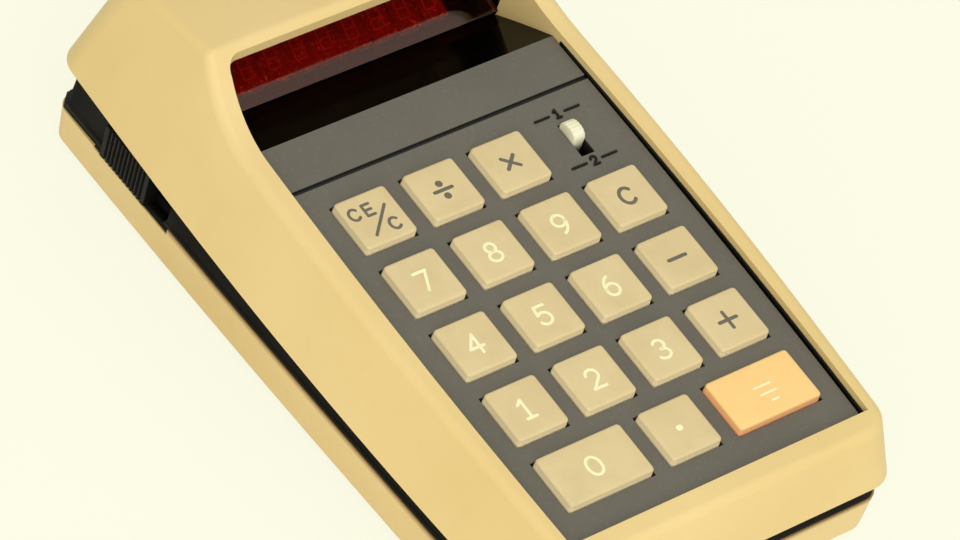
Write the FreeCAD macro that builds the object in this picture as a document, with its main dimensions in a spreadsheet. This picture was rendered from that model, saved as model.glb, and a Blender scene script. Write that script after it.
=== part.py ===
# Desktop calculator with a red light-emitting display: a cream two-part case round a dark inner
# frame, eighteen sprung keys under a sloping grey panel, and two slide switches.
#
# The object stands on its feet at Z = 0 with +X to the right and +Y to the back. The panel and all
# that follows it is drawn in the panel's own frame, where Z = 0 is the panel's face and the origin
# lies in the row of keys 4, 5 and 6, halfway between key 5 and key 6. That frame is then tilted
# and lifted into the case. The tray, the inner frame and what lies in them are drawn level.
import FreeCAD, Part
import math
import os
import Sketcher

Vector = FreeCAD.Vector
Placement = FreeCAD.Placement
Rotation = FreeCAD.Rotation

# Driving dimensions in millimetres, with slopes in degrees or as plain ratios.
DIMENSIONS = [
    ("panel_tilt", 4.1, "slope of the panel in degrees"),
    ("panel_height", 30.0, "panel origin above the table"),
    ("panel_setback", 22.65, "panel origin in front of the case's middle"),
    ("key_pitch", 14.0, "key spacing both ways"),
    ("key_hole", 10.8, "side of a single key's hole"),
    ("key_gap", 0.2, "gap round a key cap"),
    ("key_rise", 1.4, "key top above the panel"),
    ("key_travel", 1.0, "key stroke"),
    ("key_corner", 0.7, "chamfer of a cap's upright corners"),
    ("key_taper", 0.15, "how far a cap's sides lean inwards"),
    ("key_top_edge", 0.5, "chamfer of a cap's top edges"),
    ("flange_lap", 0.8, "how far a key's flange reaches past its hole"),
    ("flange_thick", 1.0, "thickness of a key's flange"),
    ("flange_gap", 0.12, "air above a key's flange at rest"),
    ("plunger_half", 1.5, "half side of a key's plunger"),
    ("plunger_length", 1.9, "plunger below the flange"),
    ("press_gap", 0.2, "air left under a pressed key"),
    ("disc_thick", 0.15, "contact sheet, and the discs on it"),
    ("disc_half", 2.6, "half side of a contact pad"),
    ("guide_half", 28.2, "half width of the key guide"),
    ("guide_front", 37.6, "key guide in front of the origin"),
    ("guide_back", 45.6, "key guide behind the origin"),
    ("guide_play", 0.25, "gap round a key's flange"),
    ("bezel_thick", 2.0, "panel plate"),
    ("bezel_step", 0.9, "rebate round the plate, below its face"),
    ("bezel_lap", 1.0, "how far the plate reaches under the shell's rim"),
    ("bezel_front", 38.6, "panel plate in front of the origin"),
    ("bezel_back", 47.8, "panel plate behind the origin"),
    ("bezel_half_front", 30.2, "half width of the plate at its front"),
    ("bezel_half_mid", 31.0, "half width of the plate at its middle"),
    ("bezel_half_back", 30.7, "half width of the plate at its back"),
    ("groove_place", 38.2, "groove across the plate, behind the origin"),
    ("groove_width", 0.9, "width of that groove"),
    ("groove_depth", 0.7, "depth of that groove"),
    ("mode_x", 21.1, "slot of the mode switch from the middle"),
    ("mode_y", 28.05, "slot of the mode switch behind the origin"),
    ("slot_length", 7.1, "slot of the mode switch, front to back"),
    ("slot_width", 2.8, "slot of the mode switch, across"),
    ("track_depth", 2.4, "track of the mode knob below the panel plate"),
    ("mode_half_x", 4.4, "half width of the mode switch's body"),
    ("mode_half_y", 5.6, "half length of the mode switch's body"),
    ("knob_length", 4.2, "mode knob, front to back"),
    ("knob_width", 2.4, "mode knob, across"),
    ("knob_rise", 2.0, "mode knob above the panel"),
    ("knob_edge", 0.3, "chamfer of the mode knob"),
    ("knob_notch", 0.3, "depth of the notches on the mode knob"),
    ("notch_half", 0.25, "half width of those notches"),
    ("lip_half_mid", 40.2, "half width of the shell at its widest, level with the lower edge's middle"),
    ("bow_centre", 22.0, "widest place of the shell's sides, behind the origin"),
    ("bow_length", 43.5, "bowed part of those sides, to each end of its arc"),
    ("bow_depth", 1.1, "height of that arc"),
    ("lip_front", 46.3, "shell's front at that level, in front of the origin"),
    ("lip_back", 89.2, "shell's back at that level, behind the origin"),
    ("lip_level", 13.4, "shell's lower edge below the panel, at the origin"),
    ("lip_angle", 1.6, "slope of that edge against the panel in degrees"),
    ("shell_corner_front", 5.4, "upright front corners of the shell"),
    ("shell_corner_back", 5.6, "upright back corners of the shell"),
    ("shell_top", 14.0, "level where the drafted block of the shell ends"),
    ("side_draft", 0.33, "inward lean of the shell's sides"),
    ("front_draft", 0.2, "inward lean of the shell's front"),
    ("back_draft", 0.098, "inward lean of the shell's back"),
    ("shell_wall", 1.8, "wall of the shell"),
    ("shell_roof", 1.4, "roof of the shell"),
    ("rim_level", 1.7, "rim above the panel"),
    ("hood_start", 45.0, "where the rim begins to rise to the hood"),
    ("hood_peak", 63.4, "place of the hood's crest"),
    ("hood_level", 8.7, "height of the hood's crest above the panel"),
    ("hood_bow", 1.83, "hollow of the rise between rim and crest"),
    ("hood_back_level", 2.4, "height of the hood's slope where the block ends"),
    ("rim_round", 1.8, "rounding of the shell's outer top edges"),
    ("opening_front", 39.1, "front edge of the shell's opening"),
    ("opening_half_front", 30.9, "half width of the opening at its front"),
    ("opening_half_mid", 31.8, "half width of the opening at its middle"),
    ("opening_half_hood", 31.2, "half width of the opening where the hood begins"),
    ("opening_half_brow", 29.2, "half width of the opening under the brow"),
    ("opening_brow", 62.2, "back edge of the opening under the brow"),
    ("opening_corner", 2.7, "corner radius of the opening under the brow"),
    ("ledge_half", 29.6, "inner half width of the ledge that carries the panel"),
    ("ledge_front", 37.9, "inner front edge of that ledge"),
    ("ledge_end", 43.0, "back end of that ledge"),
    ("ledge_deep", 1.6, "thickness of that ledge"),
    ("cheek_depth", 12.0, "depth of the walls beside the display"),
    ("cheek_wall", 1.5, "thickness of the walls beside the display"),
    ("cheek_bow", 0.3, "bow of those walls"),
    ("boss_half", 2.2, "half side of the shell's screw bosses and of the frame's tubes"),
    ("pilot_radius", 1.05, "pilot holes in the bosses"),
    ("pilot_depth", 8.0, "depth of the pilot holes"),
    ("screw_radius", 1.0, "case screws"),
    ("screw_passage", 1.3, "holes that the case screws pass"),
    ("screw_head", 2.6, "radius of the case screws' heads"),
    ("head_height", 1.6, "height of the case screws' heads"),
    ("head_well", 2.9, "radius of the wells for those heads"),
    ("well_depth", 1.9, "depth of those wells"),
    ("pad_half", 4.0, "half side of the pads round the wells inside the tray"),
    ("pad_height", 1.4, "height of those pads"),
    ("screw_x", 29.8, "case screws from the middle"),
    ("screw_y", 59.2, "case screws behind the case's middle"),
    ("boss_foot", 20.5, "lower end of the bosses above the table"),
    ("thread_length", 6.5, "case screws inside the bosses"),
    ("hook_x", 16.0, "front hooks from the middle"),
    ("hook_half", 4.0, "half width of the front hooks"),
    ("hook_level", 18.4, "level where the frame's hooks hold the shell's lugs"),
    ("hook_high", 1.4, "height of hooks and lugs"),
    ("hook_reach", 0.7, "how far the hooks stand out"),
    ("hook_play", 0.15, "gap between a hook's stem and the shell's lug"),
    ("catch_low", 5.0, "underside of the tray's front catches"),
    ("catch_high", 2.2, "height of those catches"),
    ("catch_play", 0.1, "gap round those catches in the frame's wall"),
    ("shelf_drop", 6.2, "lower edge of the display shelf below the panel"),
    ("shelf_back", 59.2, "lower edge of the display shelf behind the origin"),
    ("shelf_step", 0.12, "front edge of the display shelf below the panel"),
    ("shelf_thick", 1.5, "display shelf"),
    ("plate_half", 27.9, "side plates of the shelf from the middle"),
    ("plate_depth", 8.0, "depth of those plates below the shelf's edge"),
    ("plate_lap", 4.0, "how far those plates reach under the shelf"),
    ("filter_angle", 14.0, "slope of the window against the panel in degrees"),
    ("filter_length", 14.5, "window, front to back"),
    ("filter_half", 28.9, "half width of the window"),
    ("filter_thick", 1.6, "window"),
    ("digit_gap", 1.0, "air between digits and window"),
    ("digit_rise", 2.0, "digit block above its board"),
    ("digit_pitch", 5.4, "spacing of the digits"),
    ("digit_width", 4.6, "digit block, across"),
    ("digit_length", 8.0, "digit block, front to back"),
    ("digit_start", 3.2, "digit block from the window's front edge"),
    ("digit_shift", 2.6, "row of digits left of the middle"),
    ("board_thick", 1.6, "printed boards"),
    ("tray_length", 133.4, "tray, front to back"),
    ("tray_half", 37.7, "half width of the tray's rim at its widest"),
    ("tray_bow_centre", 20.0, "widest place of the tray's sides, behind the case's middle"),
    ("tray_bow_length", 43.0, "bowed part of those sides, to each end of its arc"),
    ("tray_bow_depth", 0.42, "height of that arc"),
    ("tray_lean", 0.065, "inward lean of the tray's walls, going down"),
    ("tray_top", 10.0, "tray's rim above the table"),
    ("tray_corner", 3.4, "upright corners of the tray"),
    ("tray_wall", 1.7, "wall of the tray"),
    ("tray_floor", 1.8, "floor of the tray"),
    ("tray_round", 2.0, "rounding below the tray's walls"),
    ("foot_rise", 0.8, "feet below the tray"),
    ("foot_half", 4.2, "half side of the rubber feet"),
    ("foot_x", 19.0, "feet from the middle, across"),
    ("foot_y", 56.0, "feet from the middle, front and back"),
    ("neck_half_front", 34.2, "half width of the inner frame at its front"),
    ("neck_half_mid", 35.2, "the same at its middle"),
    ("neck_half_back", 34.2, "the same at its back"),
    ("neck_front", 64.5, "inner frame in front of the case's middle"),
    ("neck_back", 64.4, "inner frame behind the case's middle"),
    ("neck_corner", 3.0, "upright corners of the inner frame"),
    ("neck_wall", 1.6, "wall of the inner frame"),
    ("neck_rise", 1.2, "inner frame above the shell's lower edge"),
    ("flange_front", 53.0, "front end of the frame's rear flange"),
    ("flange_back", 66.3, "back end of the frame's rear flange"),
    ("flange_half", 36.9, "half width of the frame's rear flange"),
    ("ledge_low", 9.0, "underside of the frame's rear flange"),
    ("ledge_thick", 1.2, "thickness of the frame's rear flange"),
    ("wall_place", 27.4, "partition between cells and boards"),
    ("wall_height", 10.0, "height of that partition"),
    ("slide_back", 52.8, "back end of the power knob"),
    ("slide_length", 12.6, "power knob, front to back"),
    ("slide_low", 9.1, "underside of the power knob"),
    ("slide_high", 16.2, "top of the power knob"),
    ("slide_out", 37.7, "outer face of the power knob from the middle"),
    ("slide_thick", 2.6, "thickness of the power knob"),
    ("slide_travel", 5.0, "stroke of the power knob"),
    ("slide_play", 0.2, "gap round the power knob's stem"),
    ("stem_inset", 1.7, "stem inside the power knob's outline, up and down"),
    ("stem_length", 4.9, "stem of the power knob"),
    ("rib_pitch", 1.0, "spacing of the power knob's ribs"),
    ("rib_depth", 0.45, "depth of the grooves between them"),
    ("rib_mouth", 0.35, "half width of those grooves at the face"),
    ("rib_floor", 0.15, "half width of those grooves at their floor"),
    ("notch_front", 33.4, "front end of the notch in the tray's rim"),
    ("notch_back", 55.1, "back end of that notch"),
    ("notch_floor", 8.7, "bottom of that notch above the table"),
    ("switch_out", 31.0, "outer face of the power switch from the middle"),
    ("switch_wide", 7.0, "power switch, across"),
    ("switch_track", 1.6, "track in the power switch"),
    ("switch_margin", 1.0, "power switch past its track, front and back"),
    ("cell_radius", 7.1, "size AA cell"),
    ("cell_length", 49.2, "size AA cell"),
    ("cell_pitch", 14.7, "spacing of the cells"),
    ("cell_lift", 0.05, "air under the cells"),
    ("first_cell", 54.4, "foremost cell in front of the case's middle"),
    ("contact_thick", 0.5, "contact plates"),
    ("contact_half", 5.5, "half width of a contact plate"),
    ("contact_high", 12.6, "height of a contact plate"),
    ("holder_wall", 1.6, "end walls of the cell holder"),
    ("holder_high", 11.4, "height of those walls"),
    ("rib_low", 14.0, "cell ribs on the tray, inner end"),
    ("rib_far", 18.0, "cell ribs on the tray, outer end"),
    ("rib_height", 2.2, "height of those ribs"),
    ("main_level", 6.2, "underside of the main board above the table"),
    ("main_left", 23.0, "main board to the left of the middle"),
    ("main_right", 26.6, "main board to the right of the middle"),
    ("main_front", 29.5, "front edge of the main board"),
    ("main_back", 60.0, "back edge of the main board"),
    ("stand_half", 1.6, "half side of the main board's stands"),
    ("stand_inset", 2.6, "those stands from the board's edges"),
    ("logic_left", 17.0, "logic chip to the left of the middle"),
    ("logic_right", 14.0, "logic chip to the right of the middle"),
    ("logic_front", 31.8, "front edge of the logic chip"),
    ("logic_back", 44.8, "back edge of the logic chip"),
    ("logic_high", 3.4, "height of the logic chip"),
    ("leg_pitch", 2.54, "spacing of the chip's legs"),
    ("leg_half", 0.25, "half width of a leg"),
    ("leg_reach", 0.8, "how far the legs stand out"),
    ("chip_lift", 0.6, "air under the logic chip"),
    ("leg_high", 1.9, "height of the legs"),
    ("driver_front", 47.4, "front edge of the driver chips"),
    ("driver_wide", 6.3, "driver chips, front to back"),
    ("driver_long", 18.0, "driver chips, across"),
    ("driver_gap", 2.0, "gap between the driver chips"),
    ("driver_high", 3.6, "height of the driver chips"),
    ("coil_x", 20.6, "converter coil from the middle"),
    ("coil_y", 37.0, "converter coil behind the case's middle"),
    ("coil_half", 4.6, "flanges of the coil, half width"),
    ("coil_waist", 3.3, "winding of the coil, half width"),
    ("coil_deep", 4.0, "half depth of the coil"),
    ("coil_high", 7.5, "height of the coil"),
    ("coil_flange", 1.2, "thickness of the coil's flanges"),
    ("can_x", 20.6, "capacitors from the middle"),
    ("can_y", 46.2, "first capacitor behind the case's middle"),
    ("can_step", 7.2, "spacing of the capacitors"),
    ("can_radius", 2.7, "radius of a capacitor"),
    ("can_high", 9.0, "height of a capacitor"),
    ("jack_x", 10.0, "charger jack from the middle"),
    ("jack_level", 14.2, "charger jack above the table"),
    ("jack_bore", 1.75, "radius of the charger jack's bore"),
    ("jack_half", 3.1, "half side of the charger jack"),
    ("jack_length", 9.5, "length of the charger jack"),
    ("jack_depth", 8.0, "depth of the charger jack's bore"),
    ("stake_x", 22.0, "stakes of the panel plate from the middle"),
    ("stake_front", 36.0, "front stakes in front of the origin"),
    ("stake_back", 42.0, "rear stakes behind the origin"),
    ("stake_half", 0.7, "half side of the stakes"),
    ("stake_end", 0.6, "how far the stakes stand out below the board"),
    ("stake_play", 0.05, "gap round the stakes"),
]

# Columns and rows of the keys in key pitches from the panel's origin, and how many pitches wider
# than a single key each one is. A wide key is shifted outwards, so its outer edge stays in line.
KEYS = [
    ("key_clear_entry", -1.5, 2, 0), ("key_divide", -0.5, 2, 0), ("key_times", 0.5, 2, 0),
    ("key_7", -1.5, 1, 0), ("key_8", -0.5, 1, 0), ("key_9", 0.5, 1, 0), ("key_clear", 1.5, 1, 0),
    ("key_4", -1.5, 0, 0), ("key_5", -0.5, 0, 0), ("key_6", 0.5, 0, 0), ("key_minus", 1.5, 0, 0),
    ("key_1", -1.5, -1, 0), ("key_2", -0.5, -1, 0), ("key_3", 0.5, -1, 0), ("key_plus", 1.5, -1, 0),
    ("key_0", -1.25, -2, 0.5), ("key_point", 0, -2, 0), ("key_equals", 1.25, -2, 0.5),
]
GRID_COLUMNS = 4
GRID_ROWS = 3
DIGIT_COUNT = 9
CELL_COUNT = 6
RIB_COUNT = 11
LEG_COUNT = 12
NOTCH_COUNT = 3
SIDES = (-1, 1)
MARGIN = 5.0
HAIR = 0.001

doc = FreeCAD.newDocument("desktop_calculator")
sheet = doc.addObject("Spreadsheet::Sheet", "Sizes")


class Size:
    """A number in millimetres that remembers the sheet formula it comes from."""

    def __init__(self, value, formula):
        self.value = value
        self.formula = formula

    def __neg__(self):
        return Size(-self.value, "(0 - %s)" % self.formula)

    def __add__(self, other):
        return Size(self.value + number(other), "(%s + %s)" % (self.formula, text(other)))

    def __sub__(self, other):
        return Size(self.value - number(other), "(%s - %s)" % (self.formula, text(other)))

    def __rsub__(self, other):
        return -self + other

    def __mul__(self, other):
        return Size(self.value * number(other), "(%s * %s)" % (self.formula, text(other)))

    def __truediv__(self, other):
        return Size(self.value / number(other), "(%s / %s)" % (self.formula, text(other)))

    __radd__ = __add__
    __rmul__ = __mul__


def number(size):
    return size.value if isinstance(size, Size) else float(size)


def text(size):
    return size.formula if isinstance(size, Size) else "%.6f" % size


def fill_sheet():
    """Writes every driving dimension to the sheet and returns them by name."""
    sizes = {}
    for row, (alias, value, note) in enumerate(DIMENSIONS, start=1):
        sheet.set("A%d" % row, note)
        sheet.set("B%d" % row, str(value))
        sheet.setAlias("B%d" % row, alias)
        sizes[alias] = Size(value, "Sizes." + alias)
    doc.recompute()
    return sizes


D = fill_sheet()
NONE = D["shell_wall"] * 0


def bind(target, path, size):
    """Ties one property to the sheet formula of a size."""
    if isinstance(size, Size):
        target.setExpression(path, size.formula)


def constrain(sketch, kind, *where):
    """Adds a dimension to a sketch and binds it to the sheet."""
    size = where[-1]
    index = sketch.addConstraint(Sketcher.Constraint(kind, *where[:-1], number(size)))
    bind(sketch, "Constraints[%d]" % index, size)


def new_body(name):
    body = doc.addObject("PartDesign::Body", name)
    body.Label = name
    return body


def new_sketch(body, name, role="XY_Plane", level=0, slope=0):
    """A sketch on one of the body's origin planes, lifted by level and turned about X by slope."""
    sketch = body.newObject("Sketcher::SketchObject", name)
    plane = [feature for feature in body.Origin.OriginFeatures if feature.Role == role][0]
    sketch.AttachmentSupport = [(plane, "")]
    sketch.MapMode = "FlatFace"
    turn = Rotation(Vector(1, 0, 0), slope)
    sketch.AttachmentOffset = Placement(Vector(0, 0, number(level)), turn)
    bind(sketch, "AttachmentOffset.Base.z", level)
    return sketch


def closed_outline(sketch, corners):
    """A closed loop, anticlockwise. Each corner is (x, y) or (x, y, bulge); a bulge is the height
    of the arc that leads to the next corner, positive outwards."""
    count = len(corners)
    points = [Vector(number(c[0]), number(c[1]), 0) for c in corners]
    ends = []
    for i in range(count):
        here, there = points[i], points[(i + 1) % count]
        if len(corners[i]) == 2:
            index = sketch.addGeometry(Part.LineSegment(here, there), False)
            ends.append((index, 1, 2))
            continue
        bulge = corners[i][2]
        run = there - here
        apex = (here + there) / 2 + Vector(run.y, -run.x, 0).normalize() * number(bulge)
        if number(bulge) > 0:
            index = sketch.addGeometry(Part.Arc(here, apex, there), False)
            ends.append((index, 1, 2))
        else:
            index = sketch.addGeometry(Part.Arc(there, apex, here), False)
            ends.append((index, 2, 1))
            bulge = -bulge
        x_run = corners[(i + 1) % count][0] - corners[i][0]
        y_run = corners[(i + 1) % count][1] - corners[i][1]
        radius = ((x_run * x_run + y_run * y_run) / 4 + bulge * bulge) / (bulge * 2)
        constrain(sketch, "Radius", index, radius)
    for i in range(count):
        index, first, last = ends[i]
        constrain(sketch, "DistanceX", -1, 1, index, first, corners[i][0])
        constrain(sketch, "DistanceY", -1, 1, index, first, corners[i][1])
        after = ends[(i + 1) % count]
        sketch.addConstraint(Sketcher.Constraint("Coincident", index, last, after[0], after[1]))


def rectangle(sketch, x_low, x_high, y_low, y_high):
    closed_outline(sketch, [(x_low, y_low), (x_high, y_low), (x_high, y_high), (x_low, y_high)])


def square(sketch, x, y, half):
    rectangle(sketch, x - half, x + half, y - half, y + half)


def circle(sketch, x, y, radius):
    place = Vector(number(x), number(y), 0)
    index = sketch.addGeometry(Part.Circle(place, Vector(0, 0, 1), number(radius)), False)
    constrain(sketch, "DistanceX", -1, 1, index, 3, x)
    constrain(sketch, "DistanceY", -1, 1, index, 3, y)
    constrain(sketch, "Radius", index, radius)


# Height of a quarter circle's arc above its chord, for a radius of one.
QUARTER = 1 - math.sqrt(0.5)


def barrel(sketch, half_front, half_mid, half_back, front, back, corner_front, corner_back):
    """A rounded rectangle, symmetric in X, whose long sides are shallow arcs."""
    side_bulge = half_mid - (half_front + half_back) / 2
    low = front + corner_front
    high = back - corner_back
    bend_front = corner_front * QUARTER
    bend_back = corner_back * QUARTER
    closed_outline(sketch, [
        (corner_front - half_front, front),
        (half_front - corner_front, front, bend_front),
        (half_front, low, side_bulge),
        (half_back, high, bend_back),
        (half_back - corner_back, back),
        (corner_back - half_back, back, bend_back),
        (-half_back, high, side_bulge),
        (-half_front, low, bend_front),
    ])


def root(size):
    return Size(math.sqrt(size.value), "sqrt(%s)" % size.formula)


def bowed_outline(sketch, half, front, back, centre, length, depth, corner=None):
    """Straight front and back, and sides that are an arc in the middle and run on straight and
    tangent to it. Tangent means that the straight ends slope by twice the arc's half angle. A
    corner arc turns by a right angle less that slope, and its tangents follow from half of it."""
    half_angle = depth / length
    slope = half_angle * 2 / (1 - half_angle * half_angle)
    arc_front = centre - length
    arc_back = centre + length
    half_arc = half - depth
    half_front = half_arc - slope * (arc_front - front)
    half_back = half_arc - slope * (back - arc_back)
    if corner is None:
        first, last = [(half_front, front)], [(half_back, back)]
    else:
        run = root(slope * slope + 1)
        tangent = corner * (run - slope)
        bend = corner * (1 - root((slope / run + 1) / 2))
        across, along = tangent * slope / run, tangent / run
        first = [(half_front - tangent, front, bend), (half_front + across, front + along)]
        last = [(half_back + across, back - along, bend), (half_back - tangent, back)]
    right = first + [(half_arc, arc_front, depth), (half_arc, arc_back)] + last
    # The left side runs back through the mirrored points, where an arc starts at its other end.
    bulges = [()] + [point[2:] for point in right[:-1]]
    left = [(-point[0], point[1]) + bulge for point, bulge in zip(right, bulges)]
    closed_outline(sketch, right + left[::-1])


def extrude(kind, body, sketch, length, name, reversed_way, both_ways):
    feature = body.newObject(kind, name)
    feature.Profile = sketch
    feature.Length = number(length)
    bind(feature, "Length", length)
    feature.Reversed = reversed_way
    feature.SideType = "Symmetric" if both_ways else "One side"
    doc.recompute()
    return feature


def pad(body, sketch, length, name, downwards=False, both_ways=False):
    return extrude("PartDesign::Pad", body, sketch, length, name, downwards, both_ways)


def pocket(body, sketch, length, name, upwards=False, both_ways=False):
    """Cuts a sketch into the body, and stops if nothing or everything was cut."""
    before = body.Shape.Volume
    feature = extrude("PartDesign::Pocket", body, sketch, length, name, upwards, both_ways)
    if not 0 < body.Shape.Volume < before:
        raise RuntimeError("%s: %s cuts wrongly" % (body.Label, name))
    return feature


def dress(kind, body, base, chosen, name, path, size):
    """Rounds or chamfers those edges of the body's last feature that the test picks out."""
    edges = ["Edge%d" % i for i, edge in enumerate(base.Shape.Edges, start=1) if chosen(edge)]
    feature = body.newObject(kind, name)
    feature.Base = (base, edges)
    setattr(feature, path, number(size))
    bind(feature, path, size)
    doc.recompute()
    return feature


def round_edges(body, base, radius, chosen, name):
    return dress("PartDesign::Fillet", body, base, chosen, name, "Radius", radius)


def chamfer_edges(body, base, size, chosen, name):
    return dress("PartDesign::Chamfer", body, base, chosen, name, "Size", size)


def lean_faces(body, base, ratio, chosen, name, from_top=False):
    """Leans the chosen upright faces inwards, away from the outline of the flat face below them or,
    from the top, of the one above them."""
    box = base.Shape.BoundBox
    faces = list(enumerate(base.Shape.Faces, start=1))
    upright = ["Face%d" % i for i, face in faces if face.BoundBox.ZLength > HAIR and chosen(face)]
    if from_top:
        level = ["Face%d" % i for i, face in faces if face.BoundBox.ZMin > box.ZMax - HAIR]
    else:
        level = ["Face%d" % i for i, face in faces if face.BoundBox.ZMax < box.ZMin + HAIR]
    feature = body.newObject("PartDesign::Draft", name)
    feature.Base = (base, upright)
    feature.NeutralPlane = (base, level)
    feature.Reversed = from_top
    feature.Angle = math.degrees(math.atan(number(ratio)))
    feature.setExpression("Angle", "atan(%s)" % text(ratio))
    doc.recompute()
    if not feature.Shape.Volume < base.Shape.Volume:
        raise RuntimeError("%s: %s leans outwards" % (body.Label, name))
    return feature


def row_of(body, sketch, feature, axis, pitch, count, name, reversed_way=False):
    """A line of equal features along one axis of their sketch."""
    row = body.newObject("PartDesign::LinearPattern", name)
    row.Direction = (sketch, [axis])
    row.Reversed = reversed_way
    row.Length = number(pitch) * (count - 1)
    bind(row, "Length", pitch * (count - 1))
    row.Occurrences = count
    if feature is not None:
        row.Originals = [feature]
        body.Tip = row
        doc.recompute()
    return row


def at_level(level):
    """A test for edges that lie flat at one height."""
    return lambda edge: (abs(edge.BoundBox.ZMin - number(level)) < HAIR
                         and abs(edge.BoundBox.ZMax - number(level)) < HAIR)


def boolean(kind, name, first, others):
    """Part::Cut takes one tool; Part::MultiFuse and Part::MultiCommon take the whole list."""
    result = doc.addObject(kind, name)
    if kind == "Part::Cut":
        result.Base = first
        result.Tool = others[0]
    else:
        result.Shapes = [first] + others
    result.Label = name
    doc.recompute()
    return result


def place_of(x=0, y=0, z=0):
    return Vector(number(x), number(y), number(z))


PANEL_FRAME = Placement(place_of(0, -D["panel_setback"], D["panel_height"]),
                        Rotation(Vector(1, 0, 0), D["panel_tilt"].value))
parts = []


def seat(piece, frame=Placement(), place=Vector(0, 0, 0), slope=0):
    """Puts a finished sub-part where it belongs and adds it to the list that is written."""
    piece.Placement = frame.multiply(Placement(place, Rotation(Vector(1, 0, 0), slope)))
    parts.append(piece)
    return piece


# Upper housing

def drafted_block(name, inset, roof, shift):
    """The shell's outer form, or its hollow when inset by the wall: a block with bowed sides, all
    its walls leaning in as they left the mould, with rounded upright corners. Its lower end is
    cut along the shell's sloping edge, and its top follows the rim, the rise to the hood, the
    crest and the slope behind it."""
    body = new_body(name)
    low = -D["lip_level"] - MARGIN
    plan = new_sketch(body, name + "_plan", level=low)
    bowed_outline(plan, D["lip_half_mid"] + D["side_draft"] * MARGIN - inset,
                  -D["lip_front"] - D["front_draft"] * MARGIN + inset,
                  D["lip_back"] + D["back_draft"] * MARGIN - inset,
                  D["bow_centre"], D["bow_length"], D["bow_depth"])
    block = pad(body, plan, D["shell_top"] - low, name + "_pad")
    middle = D["bow_centre"].value

    def is_side(face):
        return abs(face.BoundBox.Center.x) > MARGIN

    def is_front(face):
        return not is_side(face) and face.BoundBox.Center.y < middle

    def is_back(face):
        return not is_side(face) and face.BoundBox.Center.y > middle

    block = lean_faces(body, block, D["side_draft"], is_side, name + "_sides")
    block = lean_faces(body, block, D["front_draft"], is_front, name + "_front")
    block = lean_faces(body, block, D["back_draft"], is_back, name + "_back")
    front_line, back_line = -D["lip_front"].value, D["lip_back"].value

    def upright(edge):
        return edge.BoundBox.ZLength > MARGIN

    block = round_edges(
        body, block, D["shell_corner_front"] - inset,
        lambda edge: upright(edge) and edge.BoundBox.YMin < front_line + MARGIN, name + "_corners_front")
    block = round_edges(
        body, block, D["shell_corner_back"] - inset,
        lambda edge: upright(edge) and edge.BoundBox.YMax > back_line - MARGIN, name + "_corners_back")
    side = new_sketch(body, name + "_side", role="YZ_Plane")
    sky = D["shell_top"] + MARGIN
    front_end, back_end = -D["lip_front"] - MARGIN, D["lip_back"] + MARGIN
    closed_outline(side, [
        (front_end, D["rim_level"] - roof),
        (D["hood_start"] + shift, D["rim_level"] - roof, D["hood_bow"]),
        (D["hood_peak"] + shift, D["hood_level"] - roof),
        (back_end, D["hood_back_level"] - roof),
        (back_end, sky),
        (front_end, sky),
    ])
    width = D["lip_half_mid"] * 2 + MARGIN * 2
    top = pocket(body, side, width, name + "_profile", both_ways=True)
    return body, top


def lip_cutter():
    """What lies below the shell's lower edge, which slopes against the panel."""
    body = new_body("below_lip")
    plan = new_sketch(body, "below_lip_plan", level=-D["lip_level"], slope=-D["lip_angle"].value)
    half = D["lip_half_mid"] + MARGIN * 2
    rectangle(plan, -half, half, -D["lip_front"] - MARGIN * 2, D["lip_back"] + MARGIN * 2)
    pad(body, plan, D["lip_level"], "below_lip_pad", downwards=True)
    return body


def on_shell_top(edge):
    """The edges round the shell's top faces, with the crest and the back edge."""
    box = edge.BoundBox
    if box.ZMin < D["rim_level"].value - HAIR:
        return False
    crease_at_hood_start = box.XLength > MARGIN and abs(box.YMax - D["hood_start"].value) < MARGIN
    return not crease_at_hood_start


def opening_outline(sketch, grow):
    """The opening in the shell's top: bowed sides, square front corners and, past the start of the
    hood, sides that draw in to rounded corners under the brow."""
    corner = D["opening_corner"]
    brow = D["opening_brow"] + grow
    half_front = D["opening_half_front"] + grow
    half_hood = D["opening_half_hood"] + grow
    half_brow = D["opening_half_brow"] + grow
    side_bulge = D["opening_half_mid"] - (D["opening_half_front"] + D["opening_half_hood"]) / 2
    cheek_bulge = D["cheek_bow"]
    front = -D["opening_front"] - grow
    closed_outline(sketch, [
        (-half_front, front),
        (half_front, front, side_bulge),
        (half_hood, D["hood_start"], cheek_bulge),
        (half_brow, brow - corner, corner * QUARTER),
        (half_brow - corner, brow),
        (corner - half_brow, brow, corner * QUARTER),
        (-half_brow, brow - corner, cheek_bulge),
        (-half_hood, D["hood_start"], side_bulge),
    ])


def opening_block(name, grow, low, high):
    """A block between two levels with the opening's outline, larger all round by grow."""
    body = new_body(name)
    sketch = new_sketch(body, name + "_plan", level=low)
    opening_outline(sketch, grow)
    pad(body, sketch, high - low, name + "_pad")
    return body


def screw_places():
    return [(D["screw_x"] * side, D["screw_y"]) for side in SIDES]


def level_body(name):
    """A body for something level in the shell, which is itself drawn in the panel's frame."""
    body = new_body(name)
    body.Placement = PANEL_FRAME.inverse()
    return body


def at_screws(name, shape, size, length):
    """Upright blocks or cylinders that start where the case screws enter the bosses."""
    body = level_body(name)
    plan = new_sketch(body, name + "_plan", level=D["boss_foot"])
    for x, y in screw_places():
        shape(plan, x, y, size)
    pad(body, plan, length, name + "_pad")
    return body


def hook_lugs():
    """Two lugs inside the shell's front wall, held down by the frame's hooks."""
    body = level_body("hook_lugs")
    plan = new_sketch(body, "lug_plan", level=D["hook_level"])
    for side in SIDES:
        middle = D["hook_x"] * side
        rectangle(plan, middle - D["hook_half"], middle + D["hook_half"],
                  -D["neck_front"] - MARGIN, -D["neck_front"] - D["hook_play"])
    pad(body, plan, D["hook_high"], "lug_pad", downwards=True)
    return body


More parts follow.
